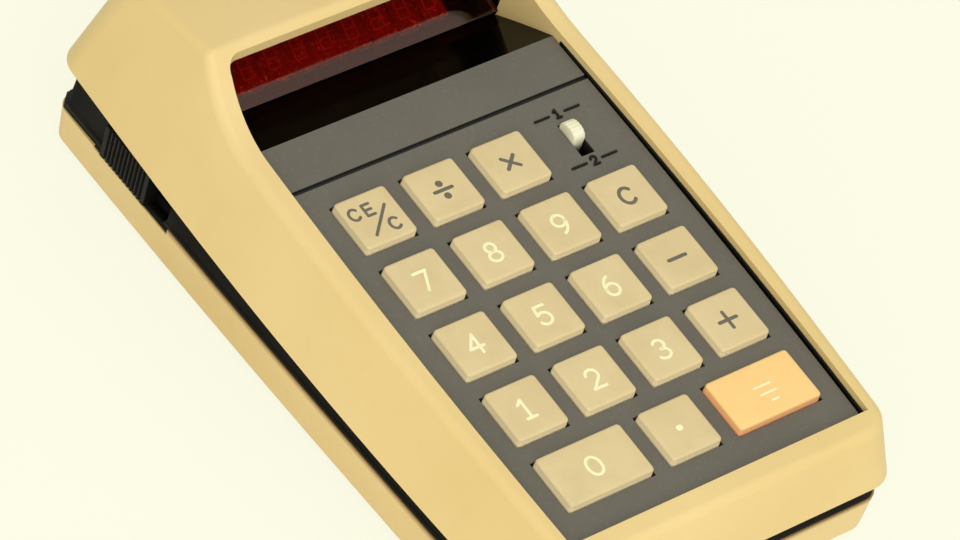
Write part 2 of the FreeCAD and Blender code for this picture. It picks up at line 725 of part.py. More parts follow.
def make_upper_housing():
    """Outer form less a hollow, where the hollow leaves standing the walls beside the display, the
    screw bosses and the front lugs. The opening's edge is the bare roof, and the ledge that
    carries the panel runs round inside the walls, lower down."""
    outer, profile = drafted_block("shell_outside", NONE, NONE, NONE)
    round_edges(outer, profile, D["rim_round"], on_shell_top, "shell_rounding")
    hollow, _ = drafted_block("shell_hollow", D["shell_wall"], D["shell_roof"], D["shell_wall"] / 2)
    sky = D["shell_top"] + MARGIN
    cheeks = new_body("cheek_block")
    cheek_plan = new_sketch(cheeks, "cheek_plan", level=-D["cheek_depth"])
    half_hood = D["opening_half_hood"] + D["cheek_wall"]
    half_brow = D["opening_half_brow"] + D["cheek_wall"]
    cheek_end = D["opening_brow"] - D["opening_corner"]
    closed_outline(cheek_plan, [
        (-half_hood, D["hood_start"]), (half_hood, D["hood_start"]),
        (half_brow, cheek_end), (-half_brow, cheek_end)])
    pad(cheeks, cheek_plan, sky + D["cheek_depth"], "cheek_pad")
    bosses = at_screws("shell_bosses", square, D["boss_half"], D["panel_height"])
    kept = boolean("Part::MultiFuse", "kept_walls", cheeks, [bosses, hook_lugs()])
    cavity = boolean("Part::Cut", "shell_cavity", hollow, [kept])
    hollowed = boolean("Part::Cut", "hollowed_shell", outer, [cavity])
    cutter = opening_block("opening_cut", NONE, -D["lip_level"] * 2, sky)
    opened = boolean("Part::Cut", "opened_shell", hollowed, [cutter])
    bars = new_body("ledge_bars")
    ledge_plan = new_sketch(bars, "ledge_plan", level=-D["bezel_thick"])
    outer_half = D["lip_half_mid"]
    closed_outline(ledge_plan, [
        (-outer_half, -D["lip_front"]),
        (outer_half, -D["lip_front"]),
        (outer_half, D["ledge_end"]),
        (D["ledge_half"], D["ledge_end"]),
        (D["ledge_half"], -D["ledge_front"]),
        (-D["ledge_half"], -D["ledge_front"]),
        (-D["ledge_half"], D["ledge_end"]),
        (-outer_half, D["ledge_end"]),
    ])
    pad(bars, ledge_plan, D["ledge_deep"], "ledge_pad", downwards=True)
    ledge = boolean("Part::MultiCommon", "panel_ledge", bars, [outer])
    ledged = boolean("Part::MultiFuse", "ledged_shell", opened, [ledge])
    pilots = at_screws("pilot_holes", circle, D["pilot_radius"], D["pilot_depth"])
    drilled = boolean("Part::Cut", "drilled_shell", ledged, [pilots])
    seat(boolean("Part::Cut", "upper_housing", drilled, [lip_cutter()]), PANEL_FRAME)


# Keyboard

GUIDE_DEPTH = D["flange_thick"] + D["plunger_length"] + D["key_travel"] + D["press_gap"] + D["disc_thick"]
DISC_LEVEL = -D["bezel_thick"] - GUIDE_DEPTH


def key_place(column, row):
    return D["key_pitch"] * column, D["key_pitch"] * row


def cut_key_holes(body, hole, depth, level):
    """Three rows of four holes as a pattern of one, then the holes of the rows above and below."""
    pitch = D["key_pitch"]
    first_x, first_y = key_place(-1.5, -1)
    grid = new_sketch(body, body.Label + "_first_hole", level=level)
    rectangle(grid, first_x - hole / 2, first_x + hole / 2, first_y - hole / 2, first_y + hole / 2)
    first = pocket(body, grid, depth, body.Label + "_first_pocket")
    pattern = body.newObject("PartDesign::MultiTransform", body.Label + "_grid")
    pattern.Originals = [first]
    pattern.Transformations = [
        row_of(body, grid, None, "H_Axis", pitch, GRID_COLUMNS, body.Label + "_columns"),
        row_of(body, grid, None, "V_Axis", pitch, GRID_ROWS, body.Label + "_rows"),
    ]
    body.Tip = pattern
    doc.recompute()
    rest = new_sketch(body, body.Label + "_row_holes", level=level)
    for name, column, row, wider in KEYS:
        if abs(row) < 2:
            continue
        x, y = key_place(column, row)
        half_x = hole / 2 + pitch * (wider / 2)
        rectangle(rest, x - half_x, x + half_x, y - hole / 2, y + hole / 2)
    pocket(body, rest, depth, body.Label + "_row_pocket")


def stake_places():
    return [(D["stake_x"] * side, y) for side in SIDES for y in (-D["stake_front"], D["stake_back"])]


def stake_squares(sketch, half):
    for x, y in stake_places():
        square(sketch, x, y, half)


def cut_stake_holes(body, depth, level):
    """Holes for the four stakes that hold guide, contact sheet and board to the panel."""
    sketch = new_sketch(body, body.Label + "_stake_holes", level=level)
    stake_squares(sketch, D["stake_half"] + D["stake_play"])
    pocket(body, sketch, depth, body.Label + "_stake_pocket")


def make_bezel():
    """The panel plate. Its face ends in a step, below which it reaches under the shell's rim and
    rests on the ledge. Four square stakes stand below it."""
    body = new_body("keyboard_bezel")
    plan = new_sketch(body, "bezel_plan")
    barrel_plate(plan, NONE, D["bezel_back"])
    pad(body, plan, D["bezel_thick"], "bezel_plate", downwards=True)
    lap = new_sketch(body, "bezel_lap_plan", level=-D["bezel_thick"])
    barrel_plate(lap, D["bezel_lap"], D["ledge_end"])
    pad(body, lap, D["bezel_thick"] - D["bezel_step"], "bezel_lap_pad")
    cut_key_holes(body, D["key_hole"], D["bezel_thick"], 0)
    groove = new_sketch(body, "groove_plan")
    rectangle(groove, -D["bezel_half_mid"] - MARGIN, D["bezel_half_mid"] + MARGIN,
              D["groove_place"] - D["groove_width"] / 2, D["groove_place"] + D["groove_width"] / 2)
    pocket(body, groove, D["groove_depth"], "groove")
    slot = new_sketch(body, "slot_plan")
    rectangle(slot, D["mode_x"] - D["slot_width"] / 2, D["mode_x"] + D["slot_width"] / 2,
              D["mode_y"] - D["slot_length"] / 2, D["mode_y"] + D["slot_length"] / 2)
    pocket(body, slot, D["bezel_thick"], "mode_slot")
    stakes = new_sketch(body, "stake_plan", level=-D["bezel_thick"])
    stake_squares(stakes, D["stake_half"])
    stack = GUIDE_DEPTH + D["disc_thick"] + D["board_thick"]
    pad(body, stakes, stack + D["stake_end"], "stakes", downwards=True)
    seat(body, PANEL_FRAME)


def barrel_plate(sketch, grow, back):
    """The plate's outline with bowed sides, larger by grow at the sides and the front."""
    half_front = D["bezel_half_front"] + grow
    half_back = D["bezel_half_back"] + grow
    bulge = D["bezel_half_mid"] - (D["bezel_half_front"] + D["bezel_half_back"]) / 2
    front = -D["bezel_front"] - grow
    closed_outline(sketch, [(-half_front, front), (half_front, front, bulge),
                            (half_back, back), (-half_back, back, bulge)])


def make_key_guide():
    """The moulded grid that the key flanges slide in, with a gap for the mode switch."""
    body = new_body("key_guide")
    top = -D["bezel_thick"]
    plan = new_sketch(body, "guide_plan", level=top)
    rectangle(plan, -D["guide_half"], D["guide_half"], -D["guide_front"], D["guide_back"])
    pad(body, plan, GUIDE_DEPTH, "guide_block", downwards=True)
    cut_key_holes(body, D["key_hole"] + (D["flange_lap"] + D["guide_play"]) * 2, GUIDE_DEPTH, top)
    gap = new_sketch(body, "switch_gap_plan", level=top)
    rectangle(gap, D["mode_x"] - D["mode_half_x"], D["mode_x"] + D["mode_half_x"],
              D["mode_y"] - D["mode_half_y"], D["mode_y"] + D["mode_half_y"])
    pocket(body, gap, GUIDE_DEPTH, "switch_gap")
    cut_stake_holes(body, GUIDE_DEPTH, top)
    seat(body, PANEL_FRAME)


def make_key(name, column, row, wider):
    """A key cap with leaning sides and chamfered edges, a flange that laps the panel from below
    and a square plunger."""
    body = new_body(name)
    flange_top = -D["bezel_thick"] - D["flange_gap"]
    half_y = D["key_hole"] / 2 - D["key_gap"]
    half_x = half_y + D["key_pitch"] * (wider / 2)
    cut = D["key_corner"]
    cap_plan = new_sketch(body, name + "_cap_plan", level=flange_top)
    closed_outline(cap_plan, [
        (cut - half_x, -half_y), (half_x - cut, -half_y), (half_x, cut - half_y),
        (half_x, half_y - cut), (half_x - cut, half_y), (cut - half_x, half_y),
        (-half_x, half_y - cut), (-half_x, cut - half_y)])
    rise = D["key_rise"] - flange_top
    cap = pad(body, cap_plan, rise, name + "_cap")
    cap = lean_faces(body, cap, D["key_taper"] / rise, lambda face: True, name + "_lean")
    chamfer_edges(body, cap, D["key_top_edge"], at_level(D["key_rise"]), name + "_top_edge")
    flange_plan = new_sketch(body, name + "_flange_plan", level=flange_top)
    flange_y = D["key_hole"] / 2 + D["flange_lap"]
    flange_x = flange_y + D["key_pitch"] * (wider / 2)
    rectangle(flange_plan, -flange_x, flange_x, -flange_y, flange_y)
    pad(body, flange_plan, D["flange_thick"], name + "_flange", downwards=True)
    plunger_plan = new_sketch(body, name + "_plunger_plan", level=flange_top - D["flange_thick"])
    square(plunger_plan, NONE, NONE, D["plunger_half"])
    pad(body, plunger_plan, D["plunger_length"], name + "_plunger", downwards=True)
    seat(body, PANEL_FRAME, place_of(*key_place(column, row)))


def make_contact_discs():
    """The sheet under the keys, with a raised contact pad below each plunger, at the height it
    has when pressed flat."""
    body = new_body("contact_discs")
    plan = new_sketch(body, "sheet_plan", level=DISC_LEVEL)
    rectangle(plan, -D["guide_half"], D["guide_half"], -D["guide_front"], D["guide_back"])
    pad(body, plan, D["disc_thick"], "contact_sheet", downwards=True)
    cut_stake_holes(body, D["disc_thick"], DISC_LEVEL)
    pads = new_sketch(body, "contact_pad_plan", level=DISC_LEVEL)
    for name, column, row, wider in KEYS:
        square(pads, *key_place(column, row), D["disc_half"])
    pad(body, pads, D["disc_thick"], "contact_pads")
    seat(body, PANEL_FRAME)


def make_keyboard_board():
    body = new_body("keyboard_board")
    level = DISC_LEVEL - D["disc_thick"]
    plan = new_sketch(body, "keyboard_board_plan", level=level)
    rectangle(plan, -D["guide_half"], D["guide_half"], -D["guide_front"], D["guide_back"])
    pad(body, plan, D["board_thick"], "keyboard_board_pad", downwards=True)
    cut_stake_holes(body, D["board_thick"], level)
    seat(body, PANEL_FRAME)


# Mode switch

def make_mode_switch():
    """A switch body under the panel's slot, and a knob with three notches across its top."""
    case = new_body("mode_switch_body")
    top = -D["bezel_thick"]
    case_plan = new_sketch(case, "mode_case_plan", level=top)
    rectangle(case_plan, -D["mode_half_x"], D["mode_half_x"], -D["mode_half_y"], D["mode_half_y"])
    pad(case, case_plan, GUIDE_DEPTH, "mode_case", downwards=True)
    track = new_sketch(case, "mode_track_plan", level=top)
    half_slot = D["slot_length"] / 2
    rectangle(track, -D["slot_width"] / 2, D["slot_width"] / 2, -half_slot, half_slot)
    pocket(case, track, D["track_depth"], "mode_track")
    seat(case, PANEL_FRAME, place_of(D["mode_x"], D["mode_y"]))
    knob = new_body("mode_switch_knob")
    half_knob = D["knob_length"] / 2
    stem_level = top - D["track_depth"] + D["slide_play"]
    stem_plan = new_sketch(knob, "mode_stem_plan", level=stem_level)
    rectangle(stem_plan, -D["knob_width"] / 2, D["knob_width"] / 2, -half_knob, half_knob)
    block = pad(knob, stem_plan, D["knob_rise"] - stem_level, "mode_stem")
    chamfer_edges(knob, block, D["knob_edge"], at_level(D["knob_rise"]), "mode_knob_edge")
    grip = new_sketch(knob, "mode_grip_plan", role="YZ_Plane")
    step = D["knob_length"] / (NOTCH_COUNT + 1)
    for i in range(NOTCH_COUNT):
        y = step * (i + 1) - half_knob
        closed_outline(grip, [(y - D["notch_half"], D["knob_rise"] + HAIR),
                              (y, D["knob_rise"] - D["knob_notch"]),
                              (y + D["notch_half"], D["knob_rise"] + HAIR)])
    pocket(knob, grip, D["knob_width"] + MARGIN, "mode_grip", both_ways=True)
    rest = half_slot - half_knob - D["slide_play"]
    seat(knob, PANEL_FRAME, place_of(D["mode_x"], D["mode_y"] + rest))


# Display

FILTER_SLOPE = math.radians(D["filter_angle"].value)
FILTER_FRONT = place_of(0, D["shelf_back"], -D["shelf_drop"])


def make_display_shelf():
    """The glossy strip that slopes down from the panel, cut to the opening's outline, with two
    side plates that carry the window and the digits' board."""
    strip = new_body("shelf_strip")
    side = new_sketch(strip, "shelf_side", role="YZ_Plane")
    start = D["bezel_back"]
    closed_outline(side, [
        (start, -D["shelf_step"] - D["shelf_thick"]),
        (D["shelf_back"], -D["shelf_drop"] - D["shelf_thick"]),
        (D["shelf_back"], -D["shelf_drop"]),
        (start, -D["shelf_step"]),
    ])
    pad(strip, side, D["opening_half_mid"] * 2, "shelf_pad", both_ways=True)
    trim = opening_block("shelf_trim", NONE, -D["lip_level"] * 2, D["shell_top"])
    trimmed = boolean("Part::MultiCommon", "trimmed_shelf", strip, [trim])
    plates = []
    reach = D["filter_length"] * math.cos(FILTER_SLOPE)
    climb = D["filter_length"] * math.sin(FILTER_SLOPE)
    foot = -D["shelf_drop"] - D["plate_depth"]
    for mark, sign in zip(("left", "right"), SIDES):
        plate = new_body("shelf_plate_" + mark)
        plate_side = new_sketch(plate, "plate_side_" + mark, role="YZ_Plane",
                                level=D["plate_half"] * sign)
        closed_outline(plate_side, [
            (D["shelf_back"] - D["plate_lap"], foot),
            (D["shelf_back"] + reach, foot),
            (D["shelf_back"] + reach, climb - D["shelf_drop"]),
            (D["shelf_back"], -D["shelf_drop"]),
            (D["shelf_back"] - D["plate_lap"], -D["shelf_drop"]),
        ])
        pad(plate, plate_side, D["shelf_thick"], "plate_pad_" + mark, both_ways=True)
        plates.append(plate)
    seat(boolean("Part::MultiFuse", "display_shelf", trimmed, plates), PANEL_FRAME)


def make_display_filter():
    body = new_body("display_filter")
    plan = new_sketch(body, "filter_plan")
    rectangle(plan, -D["filter_half"], D["filter_half"], NONE, D["filter_length"])
    pad(body, plan, D["filter_thick"], "filter_pad")
    seat(body, PANEL_FRAME, FILTER_FRONT, D["filter_angle"].value)


def make_display_board():
    """The digits' board between the side plates, and nine equal digit blocks on it."""
    board = new_body("display_board")
    board_top = -D["digit_gap"] - D["digit_rise"]
    plan = new_sketch(board, "display_board_plan", level=board_top)
    half = D["plate_half"] - D["shelf_thick"] / 2
    rectangle(plan, -half, half, D["shelf_thick"], D["filter_length"] - D["shelf_thick"] / 2)
    pad(board, plan, D["board_thick"], "display_board_pad", downwards=True)
    seat(board, PANEL_FRAME, FILTER_FRONT, D["filter_angle"].value)
    digits = new_body("led_digits")
    digit_plan = new_sketch(digits, "digit_plan", level=board_top)
    start = D["digit_pitch"] * (-(DIGIT_COUNT - 1) / 2) - D["digit_shift"]
    rectangle(digit_plan, start - D["digit_width"] / 2, start + D["digit_width"] / 2,
              D["digit_start"], D["digit_start"] + D["digit_length"])
    block = pad(digits, digit_plan, D["digit_rise"], "digit_block")
    row_of(digits, digit_plan, block, "H_Axis", D["digit_pitch"], DIGIT_COUNT, "digit_row")
    seat(digits, PANEL_FRAME, FILTER_FRONT, D["filter_angle"].value)


# Base tray

TRAY_INSIDE = D["foot_rise"] + D["tray_floor"]


def make_base_tray():
    """A shallow tray with bowed and leaning walls, rounded below, whose rim is cut down for the
    power knob and for the rear flange of the inner frame. Wells below and pads inside take the
    case screws, and two catches inside the front wall hold the frame."""
    body = new_body("base_tray")
    end = D["tray_length"] / 2
    plan = new_sketch(body, "tray_plan", level=D["foot_rise"])
    bow = D["tray_bow_centre"], D["tray_bow_length"], D["tray_bow_depth"]
    bowed_outline(plan, D["tray_half"], -end, end, *bow, D["tray_corner"])
    block = pad(body, plan, D["tray_top"] - D["foot_rise"], "tray_block")
    block = lean_faces(body, block, D["tray_lean"], lambda face: True, "tray_walls", from_top=True)
    block = round_edges(body, block, D["tray_round"], at_level(D["foot_rise"]), "tray_rounding")
    hollow = new_sketch(body, "tray_hollow", level=D["tray_top"])
    inner = end - D["tray_wall"]
    bowed_outline(hollow, D["tray_half"] - D["tray_wall"], -inner, inner, *bow)
    pocket(body, hollow, D["tray_top"] - TRAY_INSIDE, "tray_inside")
    notch = new_sketch(body, "notch_plan", level=D["tray_top"])
    rectangle(notch, -D["tray_half"] - MARGIN, -D["tray_half"] + MARGIN,
              D["notch_front"], D["notch_back"])
    pocket(body, notch, D["tray_top"] - D["notch_floor"], "switch_notch")
    rebate = new_sketch(body, "rebate_plan", level=D["tray_top"])
    rectangle(rebate, -D["tray_half"] - MARGIN, D["tray_half"] + MARGIN,
              D["flange_front"] - D["slide_play"], end + MARGIN)
    pocket(body, rebate, D["tray_top"] - D["ledge_low"], "flange_rebate")
    ribs = new_sketch(body, "cell_rib_plan", level=TRAY_INSIDE)
    half_rib = D["contact_thick"]
    for i in range(CELL_COUNT - 1):
        y = D["cell_pitch"] * (i + 0.5) - D["first_cell"]
        rectangle(ribs, -D["rib_far"], -D["rib_low"], y - half_rib, y + half_rib)
        rectangle(ribs, D["rib_low"], D["rib_far"], y - half_rib, y + half_rib)
    pad(body, ribs, D["rib_height"], "cell_ribs")
    catches = new_sketch(body, "catch_plan", level=D["catch_low"])
    for side in SIDES:
        middle = D["hook_x"] * side
        rectangle(catches, middle - D["hook_half"] / 2, middle + D["hook_half"] / 2,
                  -end + D["tray_wall"] / 2, -D["neck_front"] + D["neck_wall"] / 2)
    pad(body, catches, D["catch_high"], "front_catches")
    pads = new_sketch(body, "pad_plan", level=TRAY_INSIDE)
    wells = new_sketch(body, "well_plan", level=D["foot_rise"])
    holes = new_sketch(body, "passage_plan", level=D["foot_rise"])
    for x, y in screw_places():
        square(pads, x, y, D["pad_half"])
        circle(wells, x, y, D["head_well"])
        circle(holes, x, y, D["screw_passage"])
    pad(body, pads, D["pad_height"], "screw_pads")
    pocket(body, wells, D["well_depth"], "head_wells", upwards=True)
    pocket(body, holes, D["tray_top"], "screw_passages", upwards=True)
    seat(body)


def make_feet():
    feet = new_body("rubber_feet")
    plan = new_sketch(feet, "feet_plan")
    for x_side in SIDES:
        for y_side in SIDES:
            square(plan, D["foot_x"] * x_side, D["foot_y"] * y_side, D["foot_half"])
    pad(feet, plan, D["foot_rise"], "feet_pad")
    seat(feet)


def make_case_screws():
    screws = new_body("case_screws")
    head_top = D["foot_rise"] + D["well_depth"]
    heads = new_sketch(screws, "screw_head_plan", level=head_top)
    shanks = new_sketch(screws, "screw_shank_plan", level=head_top)
    for x, y in screw_places():
        circle(heads, x, y, D["screw_head"])
        circle(shanks, x, y, D["screw_radius"])
    pad(screws, heads, D["head_height"], "screw_heads", downwards=True)
    pad(screws, shanks, D["boss_foot"] + D["thread_length"] - head_top, "screw_shanks")
    seat(screws)


# Inner frame

def front_boxes(name, half, back, front, low, high):
    """Two boxes at the hooks' places, between two depths and two levels."""
    body = new_body(name)
    plan = new_sketch(body, name + "_plan", level=low)
    for side in SIDES:
        middle = D["hook_x"] * side
        rectangle(plan, middle - half, middle + half, -front, -back)
    pad(body, plan, high - low, name + "_pad")
    return body


def make_chassis_frame():
    """The dark frame seen as a neck between shell and tray: a barrel ring with a rear flange, a
    partition, a slot for the power knob, a hole for the jack, two tubes for the case screws, and
    in front two hooks that hold the shell and two windows for the tray's catches. Its top is cut
    parallel to the shell's lower edge."""
    body = new_body("frame_block")
    wall = D["neck_wall"]
    tall = D["lip_level"] + MARGIN
    plan = new_sketch(body, "neck_plan", level=TRAY_INSIDE)
    barrel(plan, D["neck_half_front"], D["neck_half_mid"], D["neck_half_back"], -D["neck_front"],
           D["neck_back"], D["neck_corner"], D["neck_corner"])
    pad(body, plan, tall, "neck_block")
    flange = new_sketch(body, "flange_plan", level=D["ledge_low"])
    rectangle(flange, -D["flange_half"], D["flange_half"], D["flange_front"], D["flange_back"])
    plate = pad(body, flange, D["ledge_thick"], "rear_flange")
    chamfer_edges(body, plate, D["tray_corner"] / 2,
                  lambda edge: abs(edge.BoundBox.ZLength - D["ledge_thick"].value) < HAIR
                  and edge.BoundBox.YMin > D["neck_back"].value, "flange_corners")
    inside = new_sketch(body, "neck_hollow", level=TRAY_INSIDE)
    barrel(inside, D["neck_half_front"] - wall, D["neck_half_mid"] - wall,
           D["neck_half_back"] - wall, -D["neck_front"] + wall, D["neck_back"] - wall,
           D["neck_corner"] - wall / 2, D["neck_corner"] - wall / 2)
    pocket(body, inside, tall, "neck_inside", upwards=True)
    partition = new_sketch(body, "partition_plan", level=TRAY_INSIDE)
    half_span = D["neck_half_mid"] - wall / 2
    rectangle(partition, -half_span, half_span, D["wall_place"] - wall / 2, D["wall_place"] + wall / 2)
    pad(body, partition, D["wall_height"], "partition")
    window = new_sketch(body, "power_slot", role="YZ_Plane", level=-D["neck_half_mid"] - MARGIN)
    low = D["slide_low"] + D["stem_inset"] - D["slide_play"]
    high = D["slide_high"] - D["stem_inset"] + D["slide_play"]
    front = D["slide_back"] - D["slide_length"] - D["slide_travel"]
    rectangle(window, front, D["slide_back"], low, high)
    pocket(body, window, wall * 2 + MARGIN, "power_slot_cut", upwards=True)
    passage = new_sketch(body, "jack_passage", role="XZ_Plane", level=-D["neck_back"] - MARGIN)
    square(passage, D["jack_x"], D["jack_level"], D["jack_half"])
    pocket(body, passage, wall * 2 + MARGIN, "jack_passage_cut", upwards=True)
    sky = new_body("frame_top_cut")
    sky_plan = new_sketch(sky, "frame_top_plan", level=D["neck_rise"] - D["lip_level"],
                          slope=-D["lip_angle"].value)
    rectangle(sky_plan, -D["tray_length"], D["tray_length"], -D["tray_length"], D["tray_length"])
    pad(sky, sky_plan, D["panel_height"], "frame_top_pad")
    sky.Placement = PANEL_FRAME
    ring = boolean("Part::Cut", "frame_ring", body, [sky])
    tubes = new_body("screw_tubes")
    base = TRAY_INSIDE + D["pad_height"]
    tube = new_sketch(tubes, "tube_plan", level=base)
    for x, y in screw_places():
        square(tube, x, y, D["boss_half"])
    webs = new_sketch(tubes, "web_plan", level=base)
    for side in SIDES:
        inner, outer = sorted((D["screw_x"] * side, (D["neck_half_back"] - wall / 2) * side), key=number)
        rectangle(webs, inner, outer, D["screw_y"] - wall / 2, D["screw_y"] + wall / 2)
    pad(tubes, tube, D["boss_foot"] - base, "screw_tubes")
    pad(tubes, webs, D["tray_top"] - base, "tube_webs")
    inner_face = D["neck_front"] - wall
    hook_top = D["hook_level"] + D["hook_high"]
    stems = front_boxes("hook_stems", D["hook_half"], inner_face, D["neck_front"],
                        D["tray_top"], hook_top)
    barbs = front_boxes("hook_barbs", D["hook_half"], inner_face, D["neck_front"] + D["hook_reach"],
                        D["hook_level"], hook_top)
    framed = boolean("Part::MultiFuse", "tubed_frame", ring, [tubes, stems, barbs])
    play = D["catch_play"]
    windows = front_boxes("catch_windows", D["hook_half"] / 2 + play, inner_face - MARGIN,
                          D["neck_front"] + MARGIN, D["catch_low"] - play,
                          D["catch_low"] + D["catch_high"] + play)
    bores = new_body("tube_bores")
    bore_plan = new_sketch(bores, "tube_bore_plan", level=TRAY_INSIDE)
    well_plan = new_sketch(bores, "pad_clearance_plan", level=TRAY_INSIDE)
    for x, y in screw_places():
        circle(bore_plan, x, y, D["screw_passage"])
        square(well_plan, x, y, D["pad_half"] + D["slide_play"])
    pad(bores, bore_plan, D["panel_height"], "tube_bore_pad")
    pad(bores, well_plan, D["pad_height"], "pad_clearance")
    holes = boolean("Part::MultiFuse", "frame_holes", bores, [windows])
    seat(boolean("Part::Cut", "chassis_frame", framed, [holes]))


# Power switch

def make_power_switch():
    """A ribbed plate outside the frame's left wall, on a stem that slides in the wall's slot and
    ends in the track of the switch body inside."""
    knob = new_body("power_switch_knob")
    plate = new_sketch(knob, "slide_plate", role="YZ_Plane", level=-D["slide_out"])
    front = D["slide_back"] - D["slide_length"]
    rectangle(plate, front, D["slide_back"], D["slide_low"], D["slide_high"])
    pad(knob, plate, D["slide_thick"], "slide_pad")
    groove = new_sketch(knob, "slide_groove", level=D["slide_high"])
    left = -D["slide_out"]
    y = D["slide_back"] - (D["slide_length"] - D["rib_pitch"] * (RIB_COUNT - 1)) / 2
    closed_outline(groove, [
        (left - HAIR, y - D["rib_mouth"]), (left + D["rib_depth"], y - D["rib_floor"]),
        (left + D["rib_depth"], y + D["rib_floor"]), (left - HAIR, y + D["rib_mouth"])])
    first = pocket(knob, groove, D["slide_high"] - D["slide_low"], "slide_groove_cut")
    row_of(knob, groove, first, "V_Axis", D["rib_pitch"], RIB_COUNT, "slide_ribs", reversed_way=True)
    stem = new_sketch(knob, "slide_stem", role="YZ_Plane", level=-D["slide_out"] + D["slide_thick"])
    play = D["slide_play"]
    rectangle(stem, front + play, D["slide_back"] - play,
              D["slide_low"] + D["stem_inset"], D["slide_high"] - D["stem_inset"])
    pad(knob, stem, D["stem_length"], "slide_stem_pad")
    seat(knob)
    case = new_body("power_switch_body")
    plan = new_sketch(case, "power_case_plan", level=TRAY_INSIDE)
    rectangle(plan, -D["switch_out"], -D["switch_out"] + D["switch_wide"],
              front - D["slide_travel"] - D["switch_margin"], D["slide_back"] + D["switch_margin"])
    pad(case, plan, D["slide_high"] - TRAY_INSIDE, "power_case")
    track = new_sketch(case, "power_track_plan", role="YZ_Plane", level=-D["switch_out"])
    rectangle(track, front - D["slide_travel"], D["slide_back"],
              D["slide_low"] + D["stem_inset"] - play, D["slide_high"] - D["stem_inset"] + play)
    pocket(case, track, D["switch_track"], "power_track", upwards=True)
    seat(case)


# Boards, cells and jack

MAIN_TOP = D["main_level"] + D["board_thick"]


def make_main_board():
    board = new_body("main_board")
    plan = new_sketch(board, "main_board_plan", level=D["main_level"])
    rectangle(plan, -D["main_left"], D["main_right"], D["main_front"], D["main_back"])
    pad(board, plan, D["board_thick"], "main_board_pad")
    stands = new_sketch(board, "main_board_stand_plan", level=D["main_level"])
    inset = D["stand_inset"]
    for x in (inset - D["main_left"], D["main_right"] - inset):
        for y in (D["main_front"] + inset, D["main_back"] - inset):
            square(stands, x, y, D["stand_half"])
    pad(board, stands, D["main_level"] - TRAY_INSIDE, "main_board_stands", downwards=True)
    seat(board)


def make_chips():
    """The large logic chip on two rows of legs, and two driver chips."""
    chip = new_body("logic_chip")
    chip_plan = new_sketch(chip, "logic_chip_plan", level=MAIN_TOP + D["chip_lift"])
    rectangle(chip_plan, -D["logic_left"], D["logic_right"], D["logic_front"], D["logic_back"])
    pad(chip, chip_plan, D["logic_high"], "logic_chip_pad")
    legs = new_sketch(chip, "logic_leg_plan", level=MAIN_TOP)
    half = D["leg_half"]
    middle = (D["logic_right"] - D["logic_left"]) / 2
    for i in range(LEG_COUNT):
        x = middle + D["leg_pitch"] * (i - (LEG_COUNT - 1) / 2)
        rectangle(legs, x - half, x + half, D["logic_front"] - D["leg_reach"], D["logic_front"])
        rectangle(legs, x - half, x + half, D["logic_back"], D["logic_back"] + D["leg_reach"])
    pad(chip, legs, D["leg_high"], "logic_legs")
    seat(chip)
    drivers = new_body("driver_chips")
    driver_plan = new_sketch(drivers, "driver_plan", level=MAIN_TOP)
    for i in range(2):
        x = -D["main_left"] + D["driver_gap"] + (D["driver_long"] + D["driver_gap"]) * i
        rectangle(driver_plan, x, x + D["driver_long"], D["driver_front"],
                  D["driver_front"] + D["driver_wide"])
    pad(drivers, driver_plan, D["driver_high"], "driver_pad")
    seat(drivers)


def make_converter():
    """The display's voltage converter: a coil wound between two flanges, and two capacitors."""
    coil = new_body("converter_coil")
    profile = new_sketch(coil, "coil_profile", role="XZ_Plane")
    half, waist, top = D["coil_half"], D["coil_waist"], D["coil_high"]
    low, high = D["coil_flange"], D["coil_high"] - D["coil_flange"]
    closed_outline(profile, [
        (-half, NONE), (half, NONE), (half, low), (waist, low), (waist, high), (half, high),
        (half, top), (-half, top), (-half, high), (-waist, high), (-waist, low), (-half, low)])
    pad(coil, profile, D["coil_deep"] * 2, "coil_block", both_ways=True)
    seat(coil, place=place_of(D["coil_x"], D["coil_y"], MAIN_TOP))
    capacitors = new_body("capacitors")
    plan = new_sketch(capacitors, "capacitor_plan", level=MAIN_TOP)
    for i in range(2):
        circle(plan, D["can_x"], D["can_y"] + D["can_step"] * i, D["can_radius"])
    pad(capacitors, plan, D["can_high"], "capacitor_pad")
    seat(capacitors)


def make_cells():
    """Six cells side by side between two end walls that carry the contact plates."""
    half = D["cell_length"] / 2
    level = TRAY_INSIDE + D["cell_lift"] + D["cell_radius"]
    cells = new_body("battery_cells")
    can = new_sketch(cells, "cell_can", role="YZ_Plane")
    for i in range(CELL_COUNT):
        circle(can, D["cell_pitch"] * i - D["first_cell"], level, D["cell_radius"])
    pad(cells, can, D["cell_length"], "cell_cans", both_ways=True)
    seat(cells)
    contacts = new_body("battery_contacts")
    plates = new_sketch(contacts, "contact_plan", level=TRAY_INSIDE)
    centre = half + D["contact_thick"] / 2
    for side in SIDES:
        for i in range(CELL_COUNT):
            y = D["cell_pitch"] * i - D["first_cell"]
            rectangle(plates, centre * side - D["contact_thick"] / 2,
                      centre * side + D["contact_thick"] / 2,
                      y - D["contact_half"], y + D["contact_half"])
    pad(contacts, plates, D["contact_high"], "contact_plates")
    seat(contacts)
    holder = new_body("cell_holder")
    walls = new_sketch(holder, "holder_plan", level=TRAY_INSIDE)
    low = -D["first_cell"] - D["cell_radius"]
    high = D["cell_pitch"] * (CELL_COUNT - 1) - D["first_cell"] + D["cell_radius"]
    centre = half + D["contact_thick"] + D["holder_wall"] / 2
    for side in SIDES:
        rectangle(walls, centre * side - D["holder_wall"] / 2, centre * side + D["holder_wall"] / 2,
                  low, high)
    pad(holder, walls, D["holder_high"], "holder_walls")
    seat(holder)


